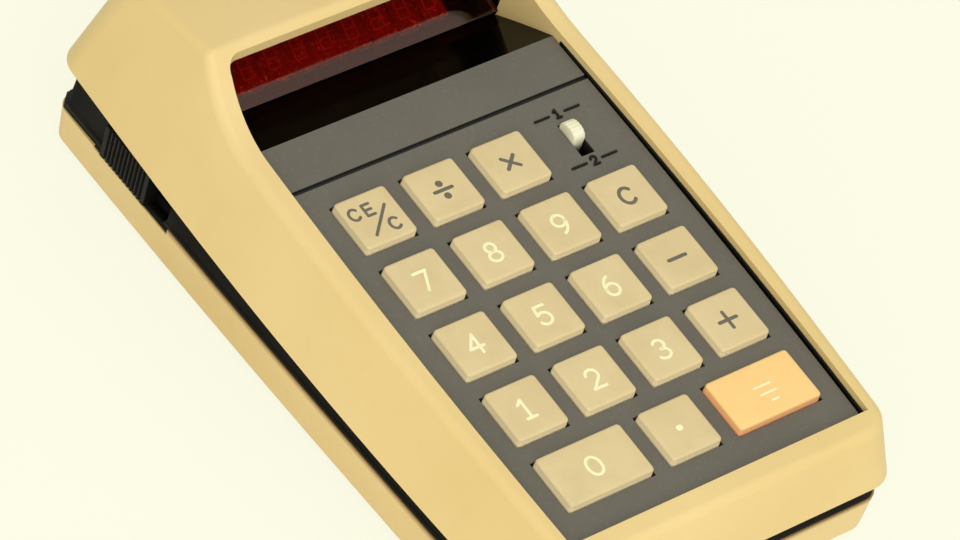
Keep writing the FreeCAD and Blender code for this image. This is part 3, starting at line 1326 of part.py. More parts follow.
def make_charger_jack():
    """A square block with a blind round bore, flush with the outside of the frame's back wall."""
    body = new_body("charger_jack")
    face = new_sketch(body, "jack_face", role="XZ_Plane", level=-D["neck_back"])
    square(face, D["jack_x"], D["jack_level"], D["jack_half"])
    pad(body, face, D["jack_length"], "jack_block")
    bore = new_sketch(body, "jack_bore_plan", role="XZ_Plane", level=-D["neck_back"])
    circle(bore, D["jack_x"], D["jack_level"], D["jack_bore"])
    pocket(body, bore, D["jack_depth"], "jack_bore_cut", upwards=True)
    seat(body)


def check_document():
    """Stops on any failed feature, and on an empty or broken sub-part."""
    for item in doc.Objects:
        if "Invalid" in item.State or "Error" in item.State:
            raise RuntimeError("failed: " + item.Name)
    for piece in parts:
        if piece.Shape.isNull() or not piece.Shape.isValid():
            raise RuntimeError("no valid shape: " + piece.Label)


make_upper_housing()
make_bezel()
make_key_guide()
for key in KEYS:
    make_key(*key)
make_contact_discs()
make_keyboard_board()
make_mode_switch()
make_display_shelf()
make_display_filter()
make_display_board()
make_base_tray()
make_feet()
make_case_screws()
make_chassis_frame()
make_power_switch()
make_main_board()
make_chips()
make_converter()
make_cells()
make_charger_jack()
doc.recompute()
check_document()

os.makedirs("parts", exist_ok=True)
for piece in parts:
    piece.Shape.exportStep("parts/%s.step" % piece.Label)
    print("%-20s solids %2d volume %9.1f" % (
        piece.Label, len(piece.Shape.Solids), piece.Shape.Volume))
box = Part.makeCompound([piece.Shape for piece in parts]).optimalBoundingBox()
print("%d nodes" % len(parts))
print("box x %.2f to %.2f, y %.2f to %.2f, z %.2f to %.2f" % (
    box.XMin, box.XMax, box.YMin, box.YMax, box.ZMin, box.ZMax))
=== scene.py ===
# Looks of a desktop calculator with a red display: cream moulded case, grey keyboard panel,
# beige keys and one orange key, black trim. Everything is in metres in the model's own frame.
import math
import bpy
import numpy as np
from mathutils import Matrix, Vector


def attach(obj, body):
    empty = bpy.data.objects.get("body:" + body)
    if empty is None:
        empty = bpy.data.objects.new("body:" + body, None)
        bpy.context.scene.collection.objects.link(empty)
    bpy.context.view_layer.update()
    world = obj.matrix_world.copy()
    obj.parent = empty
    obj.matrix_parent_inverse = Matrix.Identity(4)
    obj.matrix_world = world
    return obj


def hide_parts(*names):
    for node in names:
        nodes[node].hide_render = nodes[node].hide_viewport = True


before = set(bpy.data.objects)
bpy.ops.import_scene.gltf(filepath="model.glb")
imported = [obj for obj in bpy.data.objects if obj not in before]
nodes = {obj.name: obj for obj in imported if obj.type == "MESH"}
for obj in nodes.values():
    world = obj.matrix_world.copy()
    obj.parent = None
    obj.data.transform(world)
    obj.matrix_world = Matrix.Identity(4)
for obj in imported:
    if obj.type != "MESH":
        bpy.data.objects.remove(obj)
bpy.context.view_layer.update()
MM = 0.001

# The panel's own frame: its face is tilted about X and lifted above the table. All sizes below
# are millimetres, and u, v and n are right, back and up from the panel's face.
PANEL_TILT = math.radians(4.1)
PANEL_ORIGIN = np.array([0.0, -22.65, 30.0])


def from_panel(points):
    """Panel millimetres to model metres: the tilt about X, then the lift, then the scale."""
    p = np.asarray(points, float)
    c, s = math.cos(PANEL_TILT), math.sin(PANEL_TILT)
    turned = np.stack([p[:, 0], p[:, 1] * c - p[:, 2] * s, p[:, 1] * s + p[:, 2] * c], axis=1)
    return (turned + PANEL_ORIGIN) * MM


# Colours and materials

def linear(code):
    """An sRGB hex colour as linear RGBA: each channel c is c / 12.92 below 0.04045, and above it
    ((c + 0.055) / 1.055) to the power 2.4."""
    c = np.array([int(code[i:i + 2], 16) for i in (1, 3, 5)]) / 255
    low = c / 12.92
    high = ((c + 0.055) / 1.055) ** 2.4
    return (*np.where(c <= 0.04045, low, high).tolist(), 1.0)


def add(tree, kind, values=None, links=None, **settings):
    """Adds a node, with the values of its sockets, the outputs that feed them and its settings."""
    made = tree.nodes.new(kind)
    for name, value in settings.items():
        setattr(made, name, value)
    for socket, value in (values or {}).items():
        made.inputs[socket].default_value = value
    for socket, source in (links or {}).items():
        tree.links.new(source, made.inputs[socket])
    return made


def per_mm(size):
    """Texture scale of a pattern whose cells are this many millimetres across."""
    return 1000.0 / size


def new_material(name):
    """An empty node material with its output, and the Object coordinates that patterns read."""
    material = bpy.data.materials.new(name)
    material.use_nodes = True
    tree = material.node_tree
    tree.nodes.clear()
    output = add(tree, "ShaderNodeOutputMaterial")
    place = add(tree, "ShaderNodeTexCoord").outputs["Object"]
    return material, tree, output, place


def above_panel(tree, place):
    """Height above the panel's face in metres: the point's share along the panel's normal, less
    that of the panel's origin."""
    normal = (0.0, -math.sin(PANEL_TILT), math.cos(PANEL_TILT))
    share = add(tree, "ShaderNodeVectorMath", {1: normal}, {0: place}, operation="DOT_PRODUCT")
    return add(tree, "ShaderNodeMath", {1: float(np.dot(normal, PANEL_ORIGIN)) * MM},
               {0: share.outputs["Value"]}, operation="SUBTRACT").outputs[0]


def above_table(tree, place):
    """Height above the table in metres."""
    return add(tree, "ShaderNodeSeparateXYZ", None, {0: place}).outputs["Z"]


def plastic(name, colour, shade, roughness, cloud, grain, depth, speck=None, polish=0.08,
            band=None, ior=1.53, specular=0.5):
    """Moulded or painted plastic: the colour drifts to its shade in clouds of one size, a fine
    grain of one size and depth gives the surface its texture, and roughness drifts with the grain.
    Specks are a colour, a size and a strength. A band is another colour, the height in millimetres
    where it is whole, the height where it has gone, and how that height is measured. Real grain
    is about a tenth of a millimetre wide, and it is drawn coarser so that it shows."""
    material, tree, output, place = new_material(name)
    clouds = add(tree, "ShaderNodeTexNoise", {"Scale": per_mm(cloud), "Detail": 3.0,
                                              "Roughness": 0.55}, {"Vector": place})
    grains = add(tree, "ShaderNodeTexNoise", {"Scale": per_mm(grain), "Detail": 2.0,
                                              "Roughness": 0.6}, {"Vector": place})
    spread = add(tree, "ShaderNodeMapRange", {"From Min": 0.35, "From Max": 0.68},
                 {"Value": clouds.outputs["Fac"]})
    # The colour sockets of the mix node are its seventh and eighth, and its third result.
    tinted = add(tree, "ShaderNodeMix", {6: linear(colour), 7: linear(shade)},
                 {0: spread.outputs["Result"]}, data_type="RGBA").outputs[2]
    if speck:
        dots = add(tree, "ShaderNodeTexNoise", {"Scale": per_mm(speck[1]), "Detail": 1.0},
                   {"Vector": place})
        few = add(tree, "ShaderNodeMapRange", {"From Min": 0.6, "From Max": 0.72,
                                               "To Max": speck[2]},
                  {"Value": dots.outputs["Fac"]})
        tinted = add(tree, "ShaderNodeMix", {7: linear(speck[0])},
                     {0: few.outputs["Result"], 6: tinted}, data_type="RGBA").outputs[2]
    if band:
        other, whole, gone, height = band
        left = add(tree, "ShaderNodeMapRange", {"From Min": whole * MM, "From Max": gone * MM},
                   {"Value": height(tree, place)})
        tinted = add(tree, "ShaderNodeMix", {6: linear(other)},
                     {0: left.outputs["Result"], 7: tinted}, data_type="RGBA").outputs[2]
    gloss = add(tree, "ShaderNodeMapRange", {"To Min": roughness - polish,
                                             "To Max": roughness + polish},
                {"Value": grains.outputs["Fac"]})
    bump = add(tree, "ShaderNodeBump", {"Strength": 0.6, "Distance": depth * MM},
               {"Height": grains.outputs["Fac"]})
    shader = add(tree, "ShaderNodeBsdfPrincipled", {"IOR": ior, "Specular IOR Level": specular},
                 {"Base Color": tinted, "Roughness": gloss.outputs["Result"],
                  "Normal": bump.outputs["Normal"]})
    tree.links.new(shader.outputs["BSDF"], output.inputs["Surface"])
    return material


# Grain of drawn or plated metal, drawn coarser than the real one so that it shows.
METAL_GRAIN = 0.4


def metal(name, colour, roughness):
    """Bare metal: drawn or plated, its roughness drifts with a fine grain."""
    material, tree, output, place = new_material(name)
    grains = add(tree, "ShaderNodeTexNoise", {"Scale": per_mm(METAL_GRAIN), "Detail": 2.0},
                 {"Vector": place})
    gloss = add(tree, "ShaderNodeMapRange", {"To Min": roughness - 0.06, "To Max": roughness + 0.08},
                {"Value": grains.outputs["Fac"]})
    bump = add(tree, "ShaderNodeBump", {"Strength": 0.4, "Distance": 0.01 * MM},
               {"Height": grains.outputs["Fac"]})
    shader = add(tree, "ShaderNodeBsdfPrincipled",
                 {"Metallic": 1.0, "Base Color": linear(colour)},
                 {"Roughness": gloss.outputs["Result"], "Normal": bump.outputs["Normal"]})
    tree.links.new(shader.outputs["BSDF"], output.inputs["Surface"])
    return material


# Size of the clouds in which the window is hazed by fingers and dust.
HAZE = 6.0


def tinted_acrylic(name, colour, roughness):
    """Cast acrylic dyed through: light passes and takes its colour, the face mirrors the room."""
    material, tree, output, place = new_material(name)
    haze = add(tree, "ShaderNodeTexNoise", {"Scale": per_mm(HAZE), "Detail": 3.0},
               {"Vector": place})
    gloss = add(tree, "ShaderNodeMapRange", {"To Min": roughness, "To Max": roughness + 0.03},
                {"Value": haze.outputs["Fac"]})
    shader = add(tree, "ShaderNodeBsdfPrincipled",
                 {"Base Color": linear(colour), "IOR": 1.49, "Transmission Weight": 1.0,
                  "Specular IOR Level": 0.3},
                 {"Roughness": gloss.outputs["Result"]})
    tree.links.new(shader.outputs["BSDF"], output.inputs["Surface"])
    return material


# ABS, injection moulded in cream: a soft satin skin with a fine spark-eroded grain, yellowed in
# broad clouds, with a few handling marks.
CREAM_ABS = plastic("cream_abs_moulded", "#EFD391", "#E7CA84", 0.42, 45.0, 0.45, 0.012,
                    ("#DDBF7E", 3.0, 0.08), polish=0.1)
# The same ABS on the tray, with painted shade: browner along its rim, below the shell's lower edge.
TRAY_ABS = plastic("cream_abs_tray", "#EED290", "#E5C883", 0.44, 40.0, 0.45, 0.012,
                   ("#CDB072", 2.5, 0.1), polish=0.1, band=("#B08F58", 9.8, 8.9, above_table))
# Black ABS of the inner frame and slides: matt, greyed by dust in its grain.
BLACK_ABS = plastic("black_abs_moulded", "#110F0D", "#181512", 0.55, 12.0, 0.4, 0.015,
                    ("#24211C", 0.8, 0.15), specular=0.15)
# Panel plate: black ABS, its face sprayed a dead flat warm grey with a fine stipple.
PANEL_PAINT = plastic("grey_panel_paint", "#646056", "#5E5A51", 0.6, 22.0, 0.3, 0.02,
                      ("#78736A", 0.7, 0.25), band=("#0F0D0B", -0.3, -0.15, above_panel))
# Keys: double-shot ABS, slightly polished by fingers, with a painted highlight: paler low on their
# sides.
KEY_ABS = plastic("beige_key_abs", "#E2CD99", "#DBC591", 0.38, 7.0, 0.35, 0.008,
                  ("#CDB581", 1.2, 0.1), polish=0.07, band=("#F3E1B2", 0.8, 1.38, above_panel))
# The orange key: painted light, as of light through its thin sides, turns them a deeper orange
# towards the panel.
ORANGE_ABS = plastic("orange_key_abs", "#FFD78A", "#FFD183", 0.36, 7.0, 0.35, 0.008,
                     ("#F8BE72", 1.2, 0.1), polish=0.07, band=("#FFB47E", 0.2, 1.35, above_panel))
# Legends: the second shot of the caps, pale cream or grey brown, as smooth as the tops.
PALE_SHOT = plastic("pale_legend_shot", "#FFFBCB", "#FFF8C0", 0.4, 3.0, 0.3, 0.004)
DARK_SHOT = plastic("grey_legend_shot", "#6A6254", "#625A4C", 0.4, 3.0, 0.3, 0.004)
# Raised numerals: the plate's own black, left unpainted. The same black on the strip in the gap
# round the panel is painted shade.
BLACK_AND_GAP_SHADE = plastic("black_abs_raised", "#090807", "#0D0B0A", 0.55, 6.0, 0.4, 0.01,
                       specular=0.2)
# Shelf in front of the display: polished black acrylic that mirrors what is above it.
BLACK_ACRYLIC = plastic("black_acrylic_polished", "#030202", "#050403", 0.12, 15.0, 0.6, 0.002,
                        polish=0.04, ior=1.49, specular=0.2)
# Window: red cast acrylic, which darkens and reddens all that lies behind it.
RED_ACRYLIC = tinted_acrylic("red_acrylic_window", "#E86A60", 0.04)
# Digit blocks: red clear-cast epoxy over pale chips, seen as a speckled red.
DIGIT_RESIN = plastic("red_digit_resin", "#8A4C4A", "#A65E5A", 0.3, 1.0, 0.25, 0.02,
                      ("#F0B4A8", 0.7, 0.9))
# The light-emitting bars in those blocks: pale gallium arsenide phosphide under clear resin.
DIGIT_BARS = plastic("pale_digit_bars", "#D88C82", "#C87C72", 0.3, 0.8, 0.25, 0.004)
# White ABS of the mode knob: satin, so that its ridges show in soft shades.
WHITE_ABS = plastic("white_knob_abs", "#FBF7D8", "#F3ECC6", 0.4, 3.0, 0.3, 0.01)
# Feet of moulded rubber: dead matt, greyed where they rub.
FOOT_RUBBER = plastic("black_rubber_foot", "#1B1A18", "#2A2825", 0.75, 6.0, 0.4, 0.03)
# Boards of glass cloth laid in green epoxy: a smooth surface with a cloudy depth.
BOARD_GREEN = plastic("green_glass_epoxy", "#2F5A34", "#274C2C", 0.35, 5.0, 0.5, 0.01, ior=1.55)
# Chips moulded in filled epoxy: matt black with a grey bloom.
CHIP_EPOXY = plastic("black_chip_epoxy", "#1C1C1D", "#272728", 0.55, 5.0, 0.3, 0.02)
# Key guide of dark grey ABS, moulded and left plain: satin, a little lighter than the frame.
GUIDE_ABS = plastic("grey_guide_abs", "#1C1A18", "#24211E", 0.5, 9.0, 0.5, 0.01)
# Cells in shrunk vinyl sleeves: smooth and shiny.
CELL_SLEEVE = plastic("cell_sleeve_vinyl", "#3D5A86", "#345079", 0.3, 10.0, 0.8, 0.005)
# Jack of pressed black phenolic: hard, with a dull shine.
BLACK_JACK = plastic("black_jack_phenolic", "#141312", "#201E1B", 0.42, 4.0, 0.4, 0.01)
# Contacts of nickel plated spring steel: warm grey and fairly bright.
SPRING_STEEL = metal("nickel_contact_steel", "#C9C5BC", 0.32)
# Screws of zinc plated steel: greyer and duller than nickel.
SCREW_STEEL = metal("zinc_screw_steel", "#B9B7B0", 0.38)
# Coil wound of enamelled copper wire: a brown orange shine.
COIL_COPPER = metal("enamelled_copper", "#B5683A", 0.3)
# Capacitors' cans of drawn aluminium: pale, cool and bright.
CAN_ALUMINIUM = metal("drawn_aluminium", "#C4C6C8", 0.3)

NODE_FINISH = {
    "upper_housing": CREAM_ABS, "base_tray": TRAY_ABS, "chassis_frame": BLACK_ABS,
    "keyboard_bezel": PANEL_PAINT, "key_guide": GUIDE_ABS, "contact_discs": SPRING_STEEL,
    "keyboard_board": BOARD_GREEN, "case_screws": SCREW_STEEL,
    "mode_switch_body": BLACK_ABS, "mode_switch_knob": WHITE_ABS, "power_switch_body": BLACK_ABS,
    "power_switch_knob": BLACK_ABS, "display_shelf": BLACK_ACRYLIC, "display_filter": RED_ACRYLIC,
    "display_board": BLACK_ABS, "led_digits": DIGIT_RESIN, "rubber_feet": FOOT_RUBBER,
    "main_board": BOARD_GREEN, "logic_chip": CHIP_EPOXY, "driver_chips": CHIP_EPOXY,
    "converter_coil": COIL_COPPER, "capacitors": CAN_ALUMINIUM, "battery_cells": CELL_SLEEVE,
    "battery_contacts": SPRING_STEEL, "cell_holder": BLACK_ABS, "charger_jack": BLACK_JACK,
}


def finish_node(name, material):
    """Gives a carried-over node its material in every slot it has."""
    piece = nodes[name]
    if not piece.material_slots:
        piece.data.materials.append(material)
    for place in piece.material_slots:
        place.material = material


for name, piece in nodes.items():
    if name in NODE_FINISH:
        finish_node(name, NODE_FINISH[name])
    else:
        finish_node(name, ORANGE_ABS if name == "key_equals" else KEY_ABS)


# Surfaces

def from_case(points):
    """Millimetres in the case's own frame, which is the model's, to metres."""
    return np.asarray(points, float) * MM


def new_piece(name, points, faces, material, body, placed=from_panel):
    """A mesh piece from panel or case millimetres, smooth, riding on a body."""
    mesh = bpy.data.meshes.new(name)
    mesh.from_pydata(placed(points).tolist(), [], faces)
    mesh.shade_smooth()
    mesh.materials.append(material)
    piece = bpy.data.objects.new(name, mesh)
    bpy.context.scene.collection.objects.link(piece)
    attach(piece, body)
    return piece


def tube_faces(rings, sides, start=0):
    """Quads between neighbouring rings and a fan at each end, for rings * sides points followed
    by the two end points."""
    i, j = np.meshgrid(np.arange(rings - 1), np.arange(sides), indexing="ij")
    a, b = i * sides + j, i * sides + (j + 1) % sides
    quads = np.stack([a, b, b + sides, a + sides], axis=-1).reshape(-1, 4) + start
    k = np.arange(sides)
    first, last = rings * sides, rings * sides + 1
    low = np.stack([np.full(sides, first), (k + 1) % sides, k], axis=1) + start
    top = (rings - 1) * sides
    high = np.stack([np.full(sides, last), top + k, top + (k + 1) % sides], axis=1) + start
    return quads.tolist() + low.tolist() + high.tolist()


# Key caps. The flange and the plunger are below the panel and hold the cap in its hole.
KEY_PITCH = 14.0
KEY_RISE = 1.4
KEY_HALF = 5.2
KEY_LEAN = 0.1
KEY_EDGE = 0.5
KEY_CORNER = 0.75
FLANGE_HALF = 6.2
FLANGE_TOP = -2.12
FLANGE_THICK = 1.0
FLANGE_CORNER = 0.3
PLUNGER_HALF = 1.5
PLUNGER_LENGTH = 1.9
PLUNGER_CORNER = 0.15
ARC_STEPS = 7
TOP_SHARES = (0.8, 0.5, 0.2)


def rounded_ring(half_x, half_y, corner, level):
    """Points round a level rounded rectangle: in each quarter an arc of the corner's radius about
    the corner's centre, (half - corner) from the middle each way."""
    turn = np.linspace(0, math.pi / 2, ARC_STEPS)
    quarters = []
    for i, (sx, sy) in enumerate(((1, 1), (-1, 1), (-1, -1), (1, -1))):
        angle = turn + i * math.pi / 2
        quarters.append(np.stack([sx * (half_x - corner) + corner * np.cos(angle),
                                  sy * (half_y - corner) + corner * np.sin(angle)], axis=1))
    ring = np.concatenate(quarters)
    return np.column_stack([ring, np.full(len(ring), level)])


def key_cap(name, column, row, wider):
    """A key as rings of one rounded rectangle from its plunger up over its flange and its leaning
    sides; the top edge is a quarter circle, and rings of the last one's shape, drawn in by
    shares, close the flat top."""
    wide = KEY_PITCH * wider / 2
    base = FLANGE_TOP - FLANGE_THICK
    foot = base - PLUNGER_LENGTH
    stack = [rounded_ring(PLUNGER_HALF, PLUNGER_HALF, PLUNGER_CORNER, level)
             for level in (foot, base)]
    stack += [rounded_ring(FLANGE_HALF + wide, FLANGE_HALF, FLANGE_CORNER, level)
              for level in (base, FLANGE_TOP)]
    stack.append(rounded_ring(KEY_HALF + wide, KEY_HALF, KEY_CORNER, FLANGE_TOP))
    for t in np.linspace(0, math.pi / 2, ARC_STEPS):
        drawn_in = KEY_EDGE * (1 - math.cos(t))
        half = KEY_HALF - KEY_LEAN - drawn_in
        stack.append(rounded_ring(half + wide, half, KEY_CORNER - drawn_in,
                                  KEY_RISE - KEY_EDGE + KEY_EDGE * math.sin(t)))
    stack += [stack[-1] * (share, share, 1) for share in TOP_SHARES]
    points = np.concatenate(stack + [np.array([[0, 0, foot], [0, 0, KEY_RISE]])])
    points[:, :2] += (column * KEY_PITCH, row * KEY_PITCH)
    orange = name == "key_equals"
    piece = new_piece(name + "_moulded", points, tube_faces(len(stack), len(stack[0])),
                      ORANGE_ABS if orange else KEY_ABS, name + "_cap")
    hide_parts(name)


# Each key's column and row from the middle of the field, and how much wider it is, in pitches.
KEYS = [
    ("key_clear_entry", -1.5, 2, 0), ("key_divide", -0.5, 2, 0), ("key_times", 0.5, 2, 0),
    ("key_7", -1.5, 1, 0), ("key_8", -0.5, 1, 0), ("key_9", 0.5, 1, 0), ("key_clear", 1.5, 1, 0),
    ("key_4", -1.5, 0, 0), ("key_5", -0.5, 0, 0), ("key_6", 0.5, 0, 0), ("key_minus", 1.5, 0, 0),
    ("key_1", -1.5, -1, 0), ("key_2", -0.5, -1, 0), ("key_3", 0.5, -1, 0), ("key_plus", 1.5, -1, 0),
    ("key_0", -1.25, -2, 0.5), ("key_point", 0, -2, 0), ("key_equals", 1.25, -2, 0.5),
]


# Legends: each mark is a few strokes, and each stroke a path in millimetres round the mark's middle.

def line(*points):
    """A straight stroke, or several joined, from x and y in turn."""
    return np.array(points, float).reshape(-1, 2)


def bend(x, y, half_x, half_y, start, end, steps=24):
    """Part of an ellipse about (x, y), from one angle to another in degrees."""
    a = np.radians(np.linspace(start, end, steps))
    return np.column_stack([x + half_x * np.cos(a), y + half_y * np.sin(a)])


MARKS = {
    "0": [bend(0, 0, 1.2, 1.6, 0, 360, 40)],
    "1": [line(-0.85, 0.95, 0, 1.65), line(0, 1.65, 0, -1.65), line(-0.85, -1.65, 0.85, -1.65)],
    "2": [np.concatenate([bend(0, 0.62, 1.02, 1.03, 170, -35, 20), line(-1.05, -1.65)]),
          line(-1.05, -1.65, 1.1, -1.65)],
    "3": [bend(-0.02, 0.82, 0.92, 0.83, 150, -90), bend(-0.05, -0.8, 1.08, 0.86, 90, -150)],
    "4": [line(0.45, -1.65, 0.45, 1.65), line(0.45, 1.65, -1.2, -0.6), line(-1.2, -0.6, 1.15, -0.6)],
    "5": [line(0.95, 1.65, -0.75, 1.65), line(-0.75, 1.65, -0.95, 0.2),
          bend(-0.08, -0.58, 1.12, 1.08, 135, -150)],
    "6": [bend(0, -0.6, 1.08, 1.05, 0, 360, 40),
          bend(0.75, -0.55, 1.83, 2.35, 180, 105)],
    "7": [line(-1.05, 1.65, 1.1, 1.65), line(1.1, 1.65, -0.35, -1.65)],
    "8": [bend(0, 0.84, 0.86, 0.8, 0, 360, 36), bend(0, -0.8, 1.08, 0.86, 0, 360, 40)],
    "9": [bend(0, 0.6, 1.08, 1.05, 0, 360, 40), bend(-0.75, 0.55, 1.83, 2.35, 0, -75)],
    "point": [line(-0.02, 0, 0.02, 0)],
    "plus": [line(-1.75, 0, 1.75, 0), line(0, 1.65, 0, -1.65)],
    "minus": [line(-1.75, 0, 1.75, 0)],
    "times": [line(-1.25, 1.15, 1.25, -1.15), line(-1.25, -1.15, 1.25, 1.15)],
    "divide": [line(-1.75, 0, 1.75, 0), line(-0.03, 1.32, 0.03, 1.32),
               line(-0.03, -1.32, 0.03, -1.32)],
    "clear": [bend(0.1, 0, 1.35, 1.6, 42, 318)],
    "clear_entry": [bend(-2.7, 1.75, 0.9, 1.05, 42, 318),
                    line(-0.75, 2.8, -0.75, 0.7), line(-0.75, 2.8, 0.6, 2.8),
                    line(-0.75, 1.78, 0.45, 1.78), line(-0.75, 0.7, 0.6, 0.7),
                    line(2.9, 1.6, -1.7, -2.9), bend(2.35, -2.1, 0.9, 1.05, 42, 318)],
    "equals": [line(-1.25, 0.85, 2.0, 0.85), line(-0.95, -0.7, 2.15, -0.7),
               line(0.3, -2.25, 1.6, -2.25)],
}
# Widths of strokes, and of a dot. A path that is shorter than the span is a dot.
PALE_STROKE = 0.6
DARK_STROKE = 0.68
THIN_STROKES = {"equals": 0.42, "clear_entry": 0.55}
DOT = 1.3
DOT_SPAN = 0.1
# Legends lie a little to the front left of each cap's middle, and hardly proud of it.
LEGEND_SHIFT = (-0.3, -0.15)
LEGEND_RISE = 0.03
DIGIT_SCALE = 1.11
LEGEND_SCALES = {"clear_entry": 1.06}
DARK_MARKS = {"plus", "minus", "times", "divide", "clear", "clear_entry"}


# How far on either side of a place its direction is measured.
NEARBY = 0.02


def stroke_tube(path, width, height, middle, level, steps=26, sides=10):
    """A flat tube along a path: an ellipse's section whose half width is the stroke's, drawn in
    to nothing at both ends as a circle is, so that the ends are round."""
    run = np.concatenate([[0], np.cumsum(np.linalg.norm(np.diff(path, axis=0), axis=1))])
    half = width / 2
    total = run[-1]
    reach = np.linspace(0, math.pi, steps + 2)[1:-1]
    along = (1 - np.cos(reach)) / 2 * (total + width) - half
    inside = np.clip(along, 0, total)
    x, y = np.interp(inside, run, path[:, 0]), np.interp(inside, run, path[:, 1])
    first, last = path[1] - path[0], path[-1] - path[-2]
    first, last = first / np.linalg.norm(first), last / np.linalg.norm(last)
    ahead = np.clip(inside + NEARBY, 0, total)
    behind = np.clip(inside - NEARBY, 0, total)
    tangent = np.column_stack([
        np.interp(ahead, run, axis) - np.interp(behind, run, axis) for axis in path.T])
    tangent /= np.linalg.norm(tangent, axis=1, keepdims=True)
    past = along - inside
    centre = np.column_stack([x, y]) + tangent * past[:, None]
    wide = np.sqrt(np.clip(half ** 2 - past ** 2, 0, None))
    normal = np.column_stack([tangent[:, 1], -tangent[:, 0]])
    turn = np.linspace(0, 2 * math.pi, sides, endpoint=False)
    across = np.cos(turn)[None, :] * wide[:, None]
    lift = np.sin(turn)[None, :] * height * (wide / half)[:, None] ** 0.5
    xy = centre[:, None, :] + normal[:, None, :] * across[:, :, None]
    rings = np.concatenate([xy, (lift + level)[:, :, None]], axis=2).reshape(-1, 3)
    ends = np.array([[*(path[0] - first * half), level], [*(path[-1] + last * half), level]])
    points = np.concatenate([rings, ends])
    points[:, :2] += middle
    return points, steps, sides


def marking(name, paths, width, height, middle, level, material, body):
    """Every stroke of one legend in one mesh. The shortest paths are dots, which are wider."""
    points, faces, count = [], [], 0
    for path in paths:
        dot = len(path) == 2 and np.abs(path[-1] - path[0]).sum() < DOT_SPAN
        made, steps, sides = stroke_tube(path, DOT if dot else width, height, middle, level)
        faces += tube_faces(steps, sides, count)
        points.append(made)
        count += len(made)
    new_piece(name, np.concatenate(points), faces, material, body)


for name, column, row, wider in KEYS:
    key_cap(name, column, row, wider)
    mark = name[4:]
    dark = mark in DARK_MARKS
    middle = np.array([column * KEY_PITCH + LEGEND_SHIFT[0], row * KEY_PITCH + LEGEND_SHIFT[1]])
    width = THIN_STROKES.get(mark, DARK_STROKE if dark else PALE_STROKE)
    scale = DIGIT_SCALE if mark.isdigit() else LEGEND_SCALES.get(mark, 1.0)
    paths = [path * scale for path in MARKS[mark]]
    marking("legend_" + mark, paths, width, LEGEND_RISE, middle, KEY_RISE,
            DARK_SHOT if dark else PALE_SHOT, name + "_cap")


# Numerals of the mode switch, moulded proud of the panel in black: each stands between two bars.
NUMERAL_PLACES = {"1": (21.2, 33.7), "2": (21.2, 23.0)}
NUMERAL_SCALE = 0.5
NUMERAL_STROKE = 0.5
NUMERAL_RISE = 0.3
NUMERAL_BAR = (1.7, 4.6)

for mark, middle in NUMERAL_PLACES.items():
    paths = [path * NUMERAL_SCALE for path in MARKS[mark]]
    paths += [line(side * NUMERAL_BAR[0], 0, side * NUMERAL_BAR[1], 0) for side in (-1, 1)]
    marking("mode_numeral_" + mark, paths, NUMERAL_STROKE, NUMERAL_RISE, np.array(middle), 0.0,
            BLACK_AND_GAP_SHADE, "case")


def carried(profile, stations):
    """A closed profile carried along a path: stations gives, for one row (a, b) of the profile,
    the points of the whole path, so that ring i is every row's i-th point. The ends get their
    rings' middles."""
    rows = np.stack([stations(a, b) for a, b in profile], axis=1)
    ends = np.stack([rows[0].mean(axis=0), rows[-1].mean(axis=0)])
    return np.concatenate([rows.reshape(-1, 3), ends]), tube_faces(len(rows), len(profile))


def bar_across(outline, first, last):
    """A closed outline, seen from the right, carried straight across from one u to another."""
    u = np.array([first, last])
    return carried(outline, lambda v, n: np.column_stack([u, np.full(2, v), np.full(2, n)]))


# Mode knob: half a disc on a stem, with fine ridges round its arc.
KNOB_PLACE = (21.1, 29.3)
KNOB_HALF, KNOB_RISE, KNOB_FOOT = 2.1, 2.0, -4.2
KNOB_FULLNESS = 0.7
KNOB_RIDGES, RIDGE_HEIGHT = 9, 0.07
KNOB_STEPS = 55
# Sections of the knob across its width: each one's u, and the share of the full size it has.
KNOB_SECTIONS = ((-1.2, 0.88), (-1.12, 0.96), (-0.95, 1.0), (0.95, 1.0), (1.12, 0.96), (1.2, 0.88))


def mode_knob():
    """v = half * cos a and n = rise * (sin a) ^ fullness, with a ripple, from the back to the
    front, closed by the stem below. The sections, drawn in at both faces, round its edges."""
    a = np.linspace(0, math.pi, KNOB_STEPS)
    ripple = 1 + RIDGE_HEIGHT * np.cos(a * 2 * KNOB_RIDGES) * np.sin(a) / 2
    arc = np.column_stack([KNOB_HALF * np.cos(a), KNOB_RISE * np.sin(a) ** KNOB_FULLNESS * ripple])
    arc[:, 1] = np.minimum(arc[:, 1], KNOB_RISE)
    loop = np.concatenate([[(-KNOB_HALF, KNOB_FOOT), (KNOB_HALF, KNOB_FOOT)], arc])
    across, share = np.array(KNOB_SECTIONS).T

    def stations(v, n):
        return np.column_stack([across + KNOB_PLACE[0], v * share + KNOB_PLACE[1],
                                n * share if n > 0 else np.full(len(share), n)])

    points, faces = carried(loop, stations)
    piece = new_piece("mode_knob_moulded", points, faces, WHITE_ABS, "mode_knob")
    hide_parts("mode_switch_knob")


mode_knob()

# Neck: the inner frame's ledge lies on the tray's rim, and its wall stands on the ledge and goes
# up behind the shell's lower edge. Both stop where the power knob slides, and at the back.
TRAY_HALF, TRAY_END, TRAY_TOP, TRAY_CORNER = 37.7, 66.7, 10.0, 3.4
BOW_CENTRE, BOW_LENGTH, BOW_DEPTH = 20.0, 43.0, 0.42
CORNER_STEPS, SIDE_STEPS = 9, 24
KNOB_ROOM = (34.9, 53.1)
BACK_GAP = 26.0
# The shell's lower edge: its level at one place, and how it rises to the back.
LIP_PLACE, LIP_LEVEL, LIP_SLOPE = -21.7, 16.63, math.tan(math.radians(2.5))
NECK_RISE = 1.0
LEDGE = 0.5
# Rows of an inset from the tray's rim and a level above it. The wall's top has no level of its
# own, because it follows the shell's lower edge.
NECK_PROFILE = [(0.3, 0.0), (2.9, 0.0), (2.9, None), (2.0, None), (1.0, LEDGE), (0.5, LEDGE),
                (0.33, LEDGE * 0.7)]


